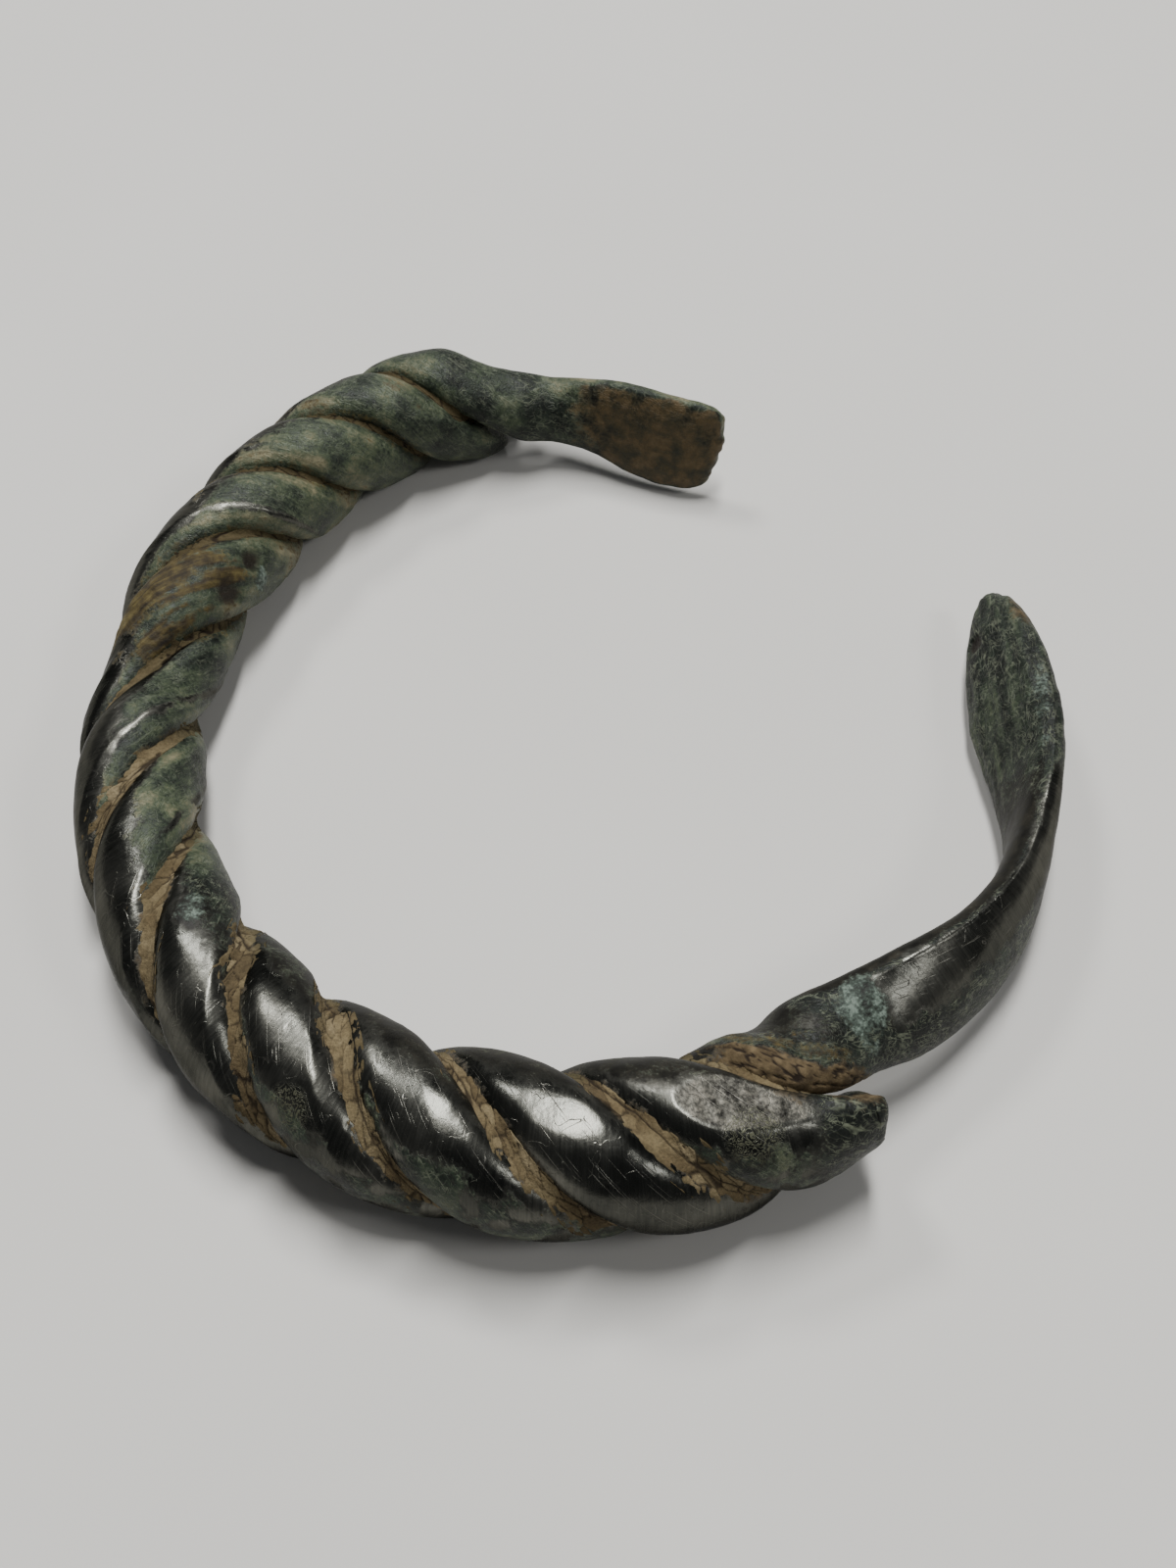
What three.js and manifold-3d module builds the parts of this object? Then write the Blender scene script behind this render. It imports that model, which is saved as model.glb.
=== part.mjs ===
// Twisted bangle: an open ring of three bronze rods laid round each other like a rope.
// One rod runs on past the twist at both ends and is hammered out into flat terminals.
// The other two end at the twist: one broken off at the front, one hidden under the first rod.
//
// Millimetres, +Z up. The ring lies flat on worn spots under its lobes, all at height 0.
// Ring angles are degrees, counter-clockwise from +X seen from above, about the ring centre.
// In a section across the ring, a turn of 0 points to the ring centre, 90 up, 180 outwards.

import * as THREE from 'three';
import { mergeVertices } from 'three/addons/utils/BufferGeometryUtils.js';
import Module from 'manifold-3d';

// Ring centre in the part's frame, whose origin is the middle of the outline at floor level.
const RING_CENTRE = { x: 1.408, y: -0.202 };

// Course of the twist: ring angle, radius of its middle line, radius round all three rods.
const TWIST_COURSE = [
  [92, 34.6, 3.0],
  [104, 36.8, 4.2],
  [112, 37.6, 4.8],
  [125, 36.8, 4.9],
  [140, 35.3, 5.0],
  [160, 34.1, 4.9],
  [171, 33.6, 4.3],
  [180, 33.6, 4.8],
  [190, 33.6, 4.9],
  [205, 33.5, 5.1],
  [220, 33.4, 5.5],
  [240, 33.4, 5.8],
  [260, 33.4, 6.0],
  [280, 33.3, 6.0],
  [300, 32.6, 5.8],
  [308, 32.2, 5.7],
];

// Ring angles where the rods come over the top, taking turns, counted towards the break.
const LOBE_CRESTS = [107.8, 118.6, 130.8, 142.8, 161.3, 180, 197.8, 216, 232.8, 249.6, 266.8, 283, 300];
// Before the first crest the twist slackens: ring angle, and turn of the terminal rod there.
const SLACK_END = [
  [92, 40],
  [100, 54],
];
const ROD_COUNT = 3;
const ROD_SPACING = 360 / ROD_COUNT;
const TOP_TURN = 90;

// A rod's section as shares of the twist's radius, and the space left on each side of it.
const ROD_CENTRE = 0.53;
const ROD_HALF_WIDTH = 0.64;
const ROD_CLEARANCE = 0.16;

// Long terminal, past the broken rods: ring angle, radius and height of the middle of the
// section, half its width, half its thickness, and the turn of its outer broad face.
const LONG_TERMINAL = [
  [288, 30.1, 6.8, 3.7, 2.4, 5],
  [294, 30.2, 7.2, 3.8, 2.3, 45],
  [300, 30.4, 7.5, 3.7, 2.4, 85],
  [306, 30.6, 7.0, 3.5, 2.3, 115],
  [312, 31.2, 6.5, 3.9, 2.2, 133],
  [320, 32.1, 6.0, 4.2, 2.1, 148],
  [328, 33.0, 5.5, 4.0, 2.0, 158],
  [337, 33.5, 5.1, 3.6, 1.8, 170],
  [346, 33.4, 4.8, 3.6, 1.7, 185],
  [355, 33.0, 4.8, 3.8, 1.5, 205],
  [364, 32.7, 4.8, 4.0, 1.3, 218],
  [372, 33.1, 4.5, 3.8, 1.2, 222],
  [380, 34.2, 4.1, 2.8, 1.1, 225],
  [386, 35.4, 3.7, 1.9, 0.9, 225],
];

// Short terminal at the other end, in the same terms.
const SHORT_TERMINAL = [
  [70, 32.8, 5.0, 3.0, 0.7, 22],
  [73, 32.3, 4.7, 3.7, 0.8, 22],
  [78, 32.2, 4.7, 4.0, 0.95, 22],
  [84, 32.9, 4.9, 3.9, 1.1, 22],
  [90, 34.1, 5.0, 3.1, 1.4, 25],
  [95, 35.0, 4.9, 2.7, 1.8, 38],
  [100, 35.2, 5.6, 3.0, 1.9, 54],
  [108, 37.3, 7.4, 3.4, 2.0, 90],
];

// Ring angles over which the first rod leaves the twist for each terminal.
const LONG_TERMINAL_LEAVES = [288, 298];
const SHORT_TERMINAL_LEAVES = [108, 97];

// The broken rod's end has sprung out of the twist: ring angles over which it does so, how far
// it then lies above and outside its place there, and the share of its outer half that is left.
const BROKEN_END_SPRINGS = [289, 303];
const BROKEN_END_LIFT = 1.5;
const BROKEN_END_OUT = 0.6;
const BROKEN_END_DEPTH = 0.8;

// A section is an oval at 2 and a flat strip with full corners above that.
const ROD_SQUARENESS = 2;
const BLADE_SQUARENESS = 2.8;
const LONG_BLADE_FORMS = [320, 360];
const SHORT_BLADE_FORMS = [95, 80];

// Each rod's first and last ring angle, the degrees over which its ends round off, and how
// its thickness goes down with its width there: 1 keeps the section's shape, less keeps it thick.
const TERMINAL_ROD = { first: 70, last: 386, firstRound: 2.5, lastRound: 6, thinning: 0.5 };
const BROKEN_ROD = { first: 98.5, last: 303, firstRound: 10, lastRound: 3, thinning: 1 };
const HIDDEN_ROD = { first: 101, last: 293, firstRound: 6, lastRound: 2.5, thinning: 1 };

// Oblique break across the front end of the broken rod.
const BREAK_ANGLE = 301.8;
const BREAK_RADIUS = 37;
const BREAK_HEIGHT = 5;
const BREAK_SLANT = 24;

// Depth worn off under each lobe where the ring lies.
const WEAR_DEPTH = 0.15;

// Fineness of the surfaces.
const RING_STEP = 2.5;
const ROUND_STEPS = 4;
const SECTION_SIDES = 16;
const CUT_SIZE = 120;

const BRONZE_POLISHED = { color: 0x6f706b, roughness: 0.34, metalness: 0.85 };
const BRONZE_PATINATED = { color: 0x777a6a, roughness: 0.55, metalness: 0.6 };
const BRONZE_DARK = { color: 0x66685f, roughness: 0.42, metalness: 0.75 };

const radians = THREE.MathUtils.degToRad;
const wasm = await Module();
wasm.setup();

// Smooth curve through the rows of a table: each column is a cubic between neighbouring rows,
// with the slope at a row weighted from the slopes on its two sides.
function follow(table, angle) {
  const last = table.length - 1;
  const at = THREE.MathUtils.clamp(angle, table[0][0], table[last][0]);
  let row = 0;
  while (row < last - 1 && at >= table[row + 1][0]) row += 1;
  const span = table[row + 1][0] - table[row][0];
  const s = (at - table[row][0]) / span;

  const chord = (i, column) => (table[i + 1][column] - table[i][column]) / (table[i + 1][0] - table[i][0]);
  const slope = (i, column) => {
    if (i === 0) return chord(0, column);
    if (i === last) return chord(last - 1, column);
    const before = table[i][0] - table[i - 1][0];
    const after = table[i + 1][0] - table[i][0];
    return (after * chord(i - 1, column) + before * chord(i, column)) / (before + after);
  };

  return table[row].slice(1).map((start, k) => {
    const column = k + 1;
    const end = table[row + 1][column];
    return (2 * s ** 3 - 3 * s ** 2 + 1) * start
      + (s ** 3 - 2 * s ** 2 + s) * span * slope(row, column)
      + (3 * s ** 2 - 2 * s ** 3) * end
      + (s ** 3 - s ** 2) * span * slope(row + 1, column);
  });
}

// Smooth step from 0 at the first angle of a pair to 1 at the second.
function passage([from, to], angle) {
  const s = THREE.MathUtils.clamp((angle - from) / (to - from), 0, 1);
  return s * s * (3 - 2 * s);
}

// Turn of the terminal rod round the twist: it comes over the top at every third crest, and
// its whole turns are counted back from the last crest to the slack end.
const CREST_STEPS = LOBE_CRESTS.length - 1;
const WHOLE_TURNS = 360 * Math.floor(CREST_STEPS / ROD_COUNT);
const TWIST = [
  ...SLACK_END.map(([angle, turn]) => [angle, turn - WHOLE_TURNS]),
  ...LOBE_CRESTS.map((angle, i) => [angle, TOP_TURN - ROD_SPACING * (CREST_STEPS - i)]),
];

// Section of a rod inside the twist. Its outer half reaches the twist's radius, and its inner
// half is as deep as the wedge between the two other rods allows.
function twistedSection(rod, angle) {
  const [ringRadius, twistRadius] = follow(TWIST_COURSE, angle);
  const turn = follow(TWIST, angle)[0] + ROD_SPACING * rod;
  const centre = ROD_CENTRE * twistRadius;
  const halfWidth = ROD_HALF_WIDTH * twistRadius;
  const wedge = radians(ROD_SPACING / 2);
  const reach = centre * Math.sin(wedge) - ROD_CLEARANCE;
  const inner = Math.sqrt(reach ** 2 - (halfWidth * Math.cos(wedge)) ** 2) / Math.sin(wedge);
  return {
    radius: ringRadius - centre * Math.cos(radians(turn)),
    height: twistRadius + centre * Math.sin(radians(turn)),
    halfWidth,
    outer: twistRadius - centre,
    inner,
    turn,
    squareness: ROD_SQUARENESS,
  };
}

// Moves a section towards a row of a terminal's table by the given share.
function easeInto(section, [radius, height, halfWidth, halfThickness, turn], share) {
  const target = { radius, height, halfWidth, outer: halfThickness, inner: halfThickness, turn };
  for (const key of Object.keys(target)) {
    section[key] = THREE.MathUtils.lerp(section[key], target[key], share);
  }
}

// Section of the rod that carries both terminals.
function terminalSection(angle) {
  const section = twistedSection(0, angle);
  easeInto(section, follow(LONG_TERMINAL, angle), passage(LONG_TERMINAL_LEAVES, angle));
  const [radius, height, halfWidth, halfThickness, turn] = follow(SHORT_TERMINAL, angle);
  const shortRow = [radius, height, halfWidth, halfThickness, turn - WHOLE_TURNS];
  easeInto(section, shortRow, passage(SHORT_TERMINAL_LEAVES, angle));
  const blade = Math.max(passage(LONG_BLADE_FORMS, angle), passage(SHORT_BLADE_FORMS, angle));
  section.squareness = THREE.MathUtils.lerp(ROD_SQUARENESS, BLADE_SQUARENESS, blade);
  return section;
}

// Section of the broken rod, whose end lifts off the twist and thins.
function brokenSection(angle) {
  const section = twistedSection(1, angle);
  const sprung = passage(BROKEN_END_SPRINGS, angle);
  section.height += BROKEN_END_LIFT * sprung;
  section.radius += BROKEN_END_OUT * sprung;
  section.outer *= THREE.MathUtils.lerp(1, BROKEN_END_DEPTH, sprung);
  return section;
}

// Ring angles along a rod with the share of full width there, closer together where the
// ends round off. The two end points themselves have no width.
function stationsAlong({ first, last, firstRound, lastRound }) {
  const stations = [];
  for (let i = 1; i < ROUND_STEPS; i += 1) {
    const t = (Math.PI / 2) * (i / ROUND_STEPS);
    stations.push({ angle: first + firstRound * (1 - Math.cos(t)), width: Math.sin(t) });
  }
  const from = first + firstRound;
  const to = last - lastRound;
  const steps = Math.round((to - from) / RING_STEP);
  for (let i = 0; i <= steps; i += 1) {
    stations.push({ angle: from + ((to - from) * i) / steps, width: 1 });
  }
  for (let i = ROUND_STEPS - 1; i > 0; i -= 1) {
    const t = (Math.PI / 2) * (i / ROUND_STEPS);
    stations.push({ angle: last - lastRound * (1 - Math.cos(t)), width: Math.sin(t) });
  }
  return stations;
}

// Point of the part at a ring angle, a distance from the ring centre and a height.
function ringPoint(angle, radius, height) {
  const a = radians(angle);
  return [
    RING_CENTRE.x + radius * Math.cos(a),
    RING_CENTRE.y + radius * Math.sin(a),
    height - WEAR_DEPTH,
  ];
}

// Closed body that carries a section along a rod's ring angles, ending in a point at each end.
function sweepRod(rod, sectionAt) {
  const points = [];
  const middleOf = (angle) => {
    const section = sectionAt(angle);
    return ringPoint(angle, section.radius, section.height);
  };
  points.push(...middleOf(rod.first));

  const stations = stationsAlong(rod);
  for (const { angle, width } of stations) {
    const section = sectionAt(angle);
    const cosTurn = Math.cos(radians(section.turn));
    const sinTurn = Math.sin(radians(section.turn));
    for (let side = 0; side < SECTION_SIDES; side += 1) {
      const t = (2 * Math.PI * side) / SECTION_SIDES;
      const c = Math.cos(t);
      const s = Math.sin(t);
      const power = 2 / section.squareness;
      const depth = (c > 0 ? section.outer : section.inner) * width ** rod.thinning;
      const out = Math.sign(c) * Math.abs(c) ** power * depth;
      const across = Math.sign(s) * Math.abs(s) ** power * section.halfWidth * width;
      const inwards = out * cosTurn - across * sinTurn;
      const upwards = out * sinTurn + across * cosTurn;
      points.push(...ringPoint(angle, section.radius - inwards, section.height + upwards));
    }
  }
  points.push(...middleOf(rod.last));

  const triangles = [];
  const lastPoint = points.length / 3 - 1;
  const index = (station, side) => 1 + station * SECTION_SIDES + (side % SECTION_SIDES);
  for (let side = 0; side < SECTION_SIDES; side += 1) {
    triangles.push(0, index(0, side + 1), index(0, side));
    for (let i = 0; i < stations.length - 1; i += 1) {
      triangles.push(index(i, side), index(i, side + 1), index(i + 1, side));
      triangles.push(index(i, side + 1), index(i + 1, side + 1), index(i + 1, side));
    }
    triangles.push(lastPoint, index(stations.length - 1, side), index(stations.length - 1, side + 1));
  }
  const geometry = new THREE.BufferGeometry();
  geometry.setAttribute('position', new THREE.Float32BufferAttribute(points, 3));
  geometry.setIndex(triangles);
  return geometry;
}

// Solid of a closed geometry, for cutting.
function toSolid(geometry) {
  const bare = geometry.clone();
  bare.deleteAttribute('normal');
  bare.deleteAttribute('uv');
  const merged = mergeVertices(bare);
  return new wasm.Manifold(new wasm.Mesh({
    numProp: 3,
    vertProperties: new Float32Array(merged.attributes.position.array),
    triVerts: new Uint32Array(merged.index.array),
  }));
}

// Geometry of a solid after cutting.
function toGeometry(solid) {
  const mesh = solid.getMesh();
  const geometry = new THREE.BufferGeometry();
  geometry.setAttribute('position', new THREE.Float32BufferAttribute(mesh.vertProperties, 3));
  geometry.setIndex(new THREE.Uint32BufferAttribute(mesh.triVerts, 1));
  geometry.computeVertexNormals();
  return geometry;
}

// Everything below the floor, worn away under the lobes.
function wearCut() {
  return new THREE.BoxGeometry(CUT_SIZE, CUT_SIZE, CUT_SIZE).translate(0, 0, -CUT_SIZE / 2);
}

// Everything past the oblique break at the front end of the broken rod.
function breakCut() {
  const [x, y, z] = ringPoint(BREAK_ANGLE, BREAK_RADIUS, BREAK_HEIGHT);
  return new THREE.BoxGeometry(CUT_SIZE, CUT_SIZE / 10, CUT_SIZE)
    .translate(0, CUT_SIZE / 20, 0)
    .rotateZ(radians(BREAK_ANGLE - BREAK_SLANT))
    .translate(x, y, z);
}

// One rod as a named mesh, cut by the given tools.
function rodMesh(name, geometry, finish, tools) {
  let solid = toSolid(geometry);
  for (const tool of tools) solid = solid.subtract(toSolid(tool));
  const mesh = new THREE.Mesh(toGeometry(solid), new THREE.MeshStandardMaterial(finish));
  mesh.name = name;
  return mesh;
}

const bangle = new THREE.Group();
bangle.name = 'twisted_bangle';
bangle.add(
  rodMesh('terminal_rod', sweepRod(TERMINAL_ROD, terminalSection), BRONZE_PATINATED, [wearCut()]),
  rodMesh('broken_rod', sweepRod(BROKEN_ROD, brokenSection), BRONZE_POLISHED,
    [wearCut(), breakCut()]),
  rodMesh('hidden_rod', sweepRod(HIDDEN_ROD, (angle) => twistedSection(2, angle)), BRONZE_DARK, [wearCut()]),
);

export default bangle;
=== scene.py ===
"""Looks of a twisted bronze bangle, an excavated find: three rods laid round each other like a rope.

One rod runs on at both ends into flat hammered terminals, one is broken off at the front and one
ends out of sight. The crests are worn to a black polish, the hollows hold green patina and dried
earth. Lengths are millimetres until a mesh is made. Ring angles are degrees, counter-clockwise
from +X seen from above; a side is the angle round a rod's own section, 0 where it faces out of
the twist and positive in the sense in which the turn grows.
"""

import functools
import itertools
import logging
import math
from dataclasses import dataclass, field
from enum import Enum
from typing import Any, Callable, Mapping, Sequence

import bpy
import numpy as np
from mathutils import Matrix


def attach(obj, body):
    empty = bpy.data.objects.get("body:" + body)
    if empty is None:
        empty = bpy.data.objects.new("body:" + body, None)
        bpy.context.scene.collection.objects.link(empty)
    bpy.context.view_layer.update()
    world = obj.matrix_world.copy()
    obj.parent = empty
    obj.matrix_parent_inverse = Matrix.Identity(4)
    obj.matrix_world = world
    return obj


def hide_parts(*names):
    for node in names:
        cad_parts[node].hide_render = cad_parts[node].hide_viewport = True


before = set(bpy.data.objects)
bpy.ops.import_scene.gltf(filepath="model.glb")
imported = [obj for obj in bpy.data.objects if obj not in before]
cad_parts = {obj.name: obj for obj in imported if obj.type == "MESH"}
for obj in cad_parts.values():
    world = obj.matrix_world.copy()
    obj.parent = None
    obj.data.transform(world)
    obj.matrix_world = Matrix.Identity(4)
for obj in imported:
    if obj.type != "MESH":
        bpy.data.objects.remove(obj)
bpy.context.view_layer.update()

log = logging.getLogger("twisted_bangle")

MM = 0.001
BODY = "root"
Socket = bpy.types.NodeSocket
Stops = tuple[tuple[float, str], ...]
Pair = tuple[float, float]
Triple = tuple[float, float, float]

# Ring centre in the part's frame, and the depth worn off under the lobes.
RING_CENTRE = np.array([1.408, -0.202])
WEAR_DEPTH = 0.15

# Course of the twist: ring angle, radius of its middle line, radius round all three rods.
TWIST_COURSE = np.array([
    [92, 34.6, 3.0], [104, 36.8, 4.2], [112, 37.6, 4.8], [125, 36.8, 4.9], [140, 35.3, 5.0],
    [160, 34.1, 4.9], [171, 33.6, 4.3], [180, 33.6, 4.8], [190, 33.6, 4.9], [205, 33.5, 5.1],
    [220, 33.4, 5.5], [240, 33.4, 5.8], [260, 33.4, 6.0], [280, 33.3, 6.0], [300, 32.6, 5.8],
    [308, 32.2, 5.7],
])

# Ring angles where the rods come over the top, taking turns, and the slack end before them.
LOBE_CRESTS = np.array([107.8, 118.6, 130.8, 142.8, 161.3, 180, 197.8, 216, 232.8, 249.6, 266.8, 283, 300])
SLACK_END = np.array([[92, 40], [100, 54]])
ROD_SPACING = 120
TOP_TURN = 90
WHOLE_TURNS = 1440
CREST_TURNS = TOP_TURN - ROD_SPACING * np.arange(len(LOBE_CRESTS))[::-1]
TWIST = np.vstack([SLACK_END - [0, WHOLE_TURNS], np.column_stack([LOBE_CRESTS, CREST_TURNS])])

# A rod's section as shares of the twist's radius, and the space left on each side of it.
ROD_CENTRE = 0.53
ROD_HALF_WIDTH = 0.64
ROD_CLEARANCE = 0.16

# Terminals: ring angle, radius and height of the middle of the section, half its width, half
# its thickness, and the turn of its outer broad face.
LONG_TERMINAL = np.array([
    [288, 30.1, 6.8, 3.7, 2.4, 5], [294, 30.2, 7.2, 3.8, 2.3, 45], [300, 30.4, 7.5, 3.7, 2.4, 85],
    [306, 30.6, 7.0, 3.5, 2.3, 115], [312, 31.2, 6.5, 3.9, 2.2, 133], [320, 32.1, 6.0, 4.2, 2.1, 148],
    [328, 33.0, 5.5, 4.0, 2.0, 158], [337, 33.5, 5.1, 3.6, 1.8, 170], [346, 33.4, 4.8, 3.6, 1.7, 185],
    [355, 33.0, 4.8, 3.8, 1.5, 205], [364, 32.7, 4.8, 4.0, 1.3, 218], [372, 33.1, 4.5, 3.8, 1.2, 222],
    [380, 34.2, 4.1, 2.8, 1.1, 225], [386, 35.4, 3.7, 1.9, 0.9, 225],
])
SHORT_TERMINAL = np.array([
    [70, 32.8, 5.0, 3.0, 0.7, 22], [73, 32.3, 4.7, 3.7, 0.8, 22], [78, 32.2, 4.7, 4.0, 0.95, 22],
    [84, 32.9, 4.9, 3.9, 1.1, 22], [90, 34.1, 5.0, 3.1, 1.4, 25], [95, 35.0, 4.9, 2.7, 1.8, 38],
    [100, 35.2, 5.6, 3.0, 1.9, 54], [108, 37.3, 7.4, 3.4, 2.0, 90],
])
LONG_TERMINAL_LEAVES = (288, 298)
SHORT_TERMINAL_LEAVES = (108, 97)
ROD_SQUARENESS = 2
BLADE_SQUARENESS = 2.8
LONG_BLADE_FORMS = (320, 360)
SHORT_BLADE_FORMS = (95, 80)

# The broken rod's end has sprung out of the twist: where, how far up and out, and the share of
# its outer half that is left; then the oblique break across it.
BROKEN_END_SPRINGS = (289, 303)
BROKEN_END_LIFT = 1.5
BROKEN_END_OUT = 0.6
BROKEN_END_DEPTH = 0.8
BREAK_ANGLE = 301.8
BREAK_RADIUS = 37
BREAK_HEIGHT = 5
BREAK_SLANT = 24

# Shares by which steps along a rod, out of it and across it count in patterns drawn out along it.
ALONG_ROD = (0.2, 1.0, 1.0)
ALONG_FLAKES = (0.4, 2.0, 2.0)
ALONG_FIBRES = (0.1, 1.0, 1.0)
ALONG_ENDS = (0.15, 1.0, 1.0)
ALONG_CRACKS = (0.5, 1.0, 1.0)

# Ridge of the long terminal: its side at one ring angle, and the angles between which it turns.
RIDGE_SIDE = -64
RIDGE_ANGLE = 320
RIDGE_TURNS = (300, 356)

# Least length that a vector is divided by.
TINY = 1e-9

# Outward lean of the surface at which the black polish starts, along the ring.
POLISH_STARTS = np.array([
    [69, 1.3], [104, 0.6], [120, 0.3], [140, 0.12], [160, 0.12], [178, 0.04], [192, -0.02],
    [203, -0.2], [212, -0.4], [226, -0.5], [300, -0.5], [386, -0.85],
])
# Share of pale, weathered patina in the patina along the ring; the rest is dark and fibrous.
PALE_SHARE = np.array([
    [69, 0.5], [96, 0.45], [108, 0.75], [120, 0.95], [150, 0.7], [175, 0.62], [198, 0.85], [208, 0.45],
    [222, 0.25], [300, 0.2], [340, 0.12], [356, 0.35], [386, 0.3],
])
# Tone of the patina along the ring, from 0 for black to 1 for the palest.
SHADE_LEVEL = np.array([
    [69, 0.42], [98, 0.32], [108, 0.42], [118, 0.46], [130, 0.56], [145, 0.58], [160, 0.47], [176, 0.22],
    [194, 0.4], [202, 0.52], [212, 0.12], [226, 0.25], [296, 0.28], [306, 0.1], [348, 0.16], [386, 0.3],
])
# Side at which handling has left a soft ridge along the lobes.
LOBE_RIDGE = np.array([
    [110, -40], [150, -38], [184, -28], [200, -52], [222, -56], [239, -45], [251, -22], [267, 6], [303, 8],
])
# Share of green patina on what isn't polished, along the ring.
GREEN_SHARE = np.array([
    [69, 0.9], [96, 0.95], [108, 0.95], [150, 0.85], [170, 0.9], [200, 0.95], [212, 0.62], [230, 0.34],
    [300, 0.3], [386, 0.3],
])


class Strand(Enum):
    """The three rods, in the order in which their turns follow each other."""

    TERMINAL = 0
    BROKEN = 1
    HIDDEN = 2


class MarkKind(Enum):
    """Kinds of single mark on the bronze."""

    FACET = "worn flat"
    RING = "ring of fine lines"
    PIT = "corroded pit"
    TURQUOISE = "turquoise spot"
    KNOB = "rise of the crest"
    FLAT = "soft flat, still polished"


@dataclass(frozen=True)
class Mark:
    """One mark on a rod: where it is, how far it reaches and how deep or high it is."""

    kind: MarkKind
    angle: float
    side: float
    size: float
    depth: float = 0.0


def ramp(value: np.ndarray, start: float, end: float) -> np.ndarray:
    """Smooth step from 0 at start to 1 at end, which may be the smaller of the two.

    Args:
        value: what is compared.
        start: where the step leaves 0.
        end: where it reaches 1.

    Returns:
        Shares from 0 to 1.
    """
    share = np.clip((value - start) / (end - start), 0, 1)
    return share * share * (3 - 2 * share)


def bell(value: np.ndarray, centre: float, reach: float) -> np.ndarray:
    """Bell curve: 1 at the centre, about a third at the reach."""
    return np.exp(-(((value - centre) / reach) ** 2))


def follow(table: np.ndarray, angles: np.ndarray) -> np.ndarray:
    """Smooth curves through a table's rows: cubic between rows, with slopes weighted from both sides.

    Args:
        table: rows of a ring angle and the values there.
        angles: ring angles asked for, held within the table's ends.

    Returns:
        One row of values for each angle.
    """
    knots, values = table[:, 0], table[:, 1:]
    slopes = np.gradient(values, knots, axis=0)
    at = np.clip(angles, knots[0], knots[-1])
    row = np.clip(np.searchsorted(knots, at, side="right") - 1, 0, len(knots) - 2)
    span = (knots[row + 1] - knots[row])[:, None]
    s = (at - knots[row])[:, None] / span
    return (
        (2 * s**3 - 3 * s**2 + 1) * values[row]
        + (s**3 - 2 * s**2 + s) * span * slopes[row]
        + (3 * s**2 - 2 * s**3) * values[row + 1]
        + (s**3 - s**2) * span * slopes[row + 1]
    )


class Noise:
    """Seeded random fields in space, read from one table that repeats far away."""

    SIDE = 64
    OCTAVE_SHIFT = 17.3
    CLOUD_GAIN = 1.5
    FAR = 9.0

    def __init__(self, seed: int) -> None:
        """Fills the table with random values and random places inside cells.

        Args:
            seed: start of the random draws.
        """
        draw = np.random.default_rng(seed)
        self.values = draw.random((self.SIDE,) * 3)
        self.places = draw.random((self.SIDE,) * 3 + (3,))

    def smooth(self, points: np.ndarray, size: float) -> np.ndarray:
        """Values at the eight corners of a point's cell, blended by smooth steps along x, y and z.

        Args:
            points: places in mm.
            size: cell width in mm.

        Returns:
            A value from -1 to 1 for each point.
        """
        cell = np.floor(points / size).astype(int)
        part = points / size - cell
        part = part * part * (3 - 2 * part)
        total = np.zeros(points.shape[:-1])
        for corner in itertools.product((0, 1), repeat=3):
            at = (cell + corner) % self.SIDE
            weight = np.prod(np.where(np.array(corner) == 1, part, 1 - part), axis=-1)
            total += weight * self.values[at[..., 0], at[..., 1], at[..., 2]]
        return 2 * total - 1

    def cloud(self, points: np.ndarray, size: float, octaves: int = 3) -> np.ndarray:
        """Smooth noise with each octave half as wide and half as strong as the one before.

        Args:
            points: places in mm.
            size: width of the largest cells in mm.
            octaves: number of layers.

        Returns:
            A value from about -1 to 1 for each point.
        """
        layers = (self.smooth(points + self.OCTAVE_SHIFT * i, size / 2**i) / 2**i for i in range(octaves))
        return sum(layers) / (2 - 2.0 ** (1 - octaves)) * self.CLOUD_GAIN

    def cells(self, points: np.ndarray, size: float) -> tuple[np.ndarray, np.ndarray, np.ndarray]:
        """Distances to the nearest and the second nearest of points strewn one to a cell.

        Args:
            points: places in mm.
            size: cell width in mm.

        Returns:
            Both distances in mm, and a random number from 0 to 1 of the nearest point.
        """
        scaled = points / size
        home = np.floor(scaled).astype(int)
        first = np.full(points.shape[:-1], self.FAR)
        second = first.copy()
        number = np.zeros(points.shape[:-1])
        for shift in itertools.product((-1, 0, 1), repeat=3):
            cell = home + shift
            at = cell % self.SIDE
            spot = cell + self.places[at[..., 0], at[..., 1], at[..., 2]]
            away = np.linalg.norm(scaled - spot, axis=-1)
            nearer = away < first
            second = np.where(nearer, first, np.minimum(second, away))
            number = np.where(nearer, self.values[at[..., 0], at[..., 1], at[..., 2]], number)
            first = np.where(nearer, away, first)
        return first * size, second * size, number


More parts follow.
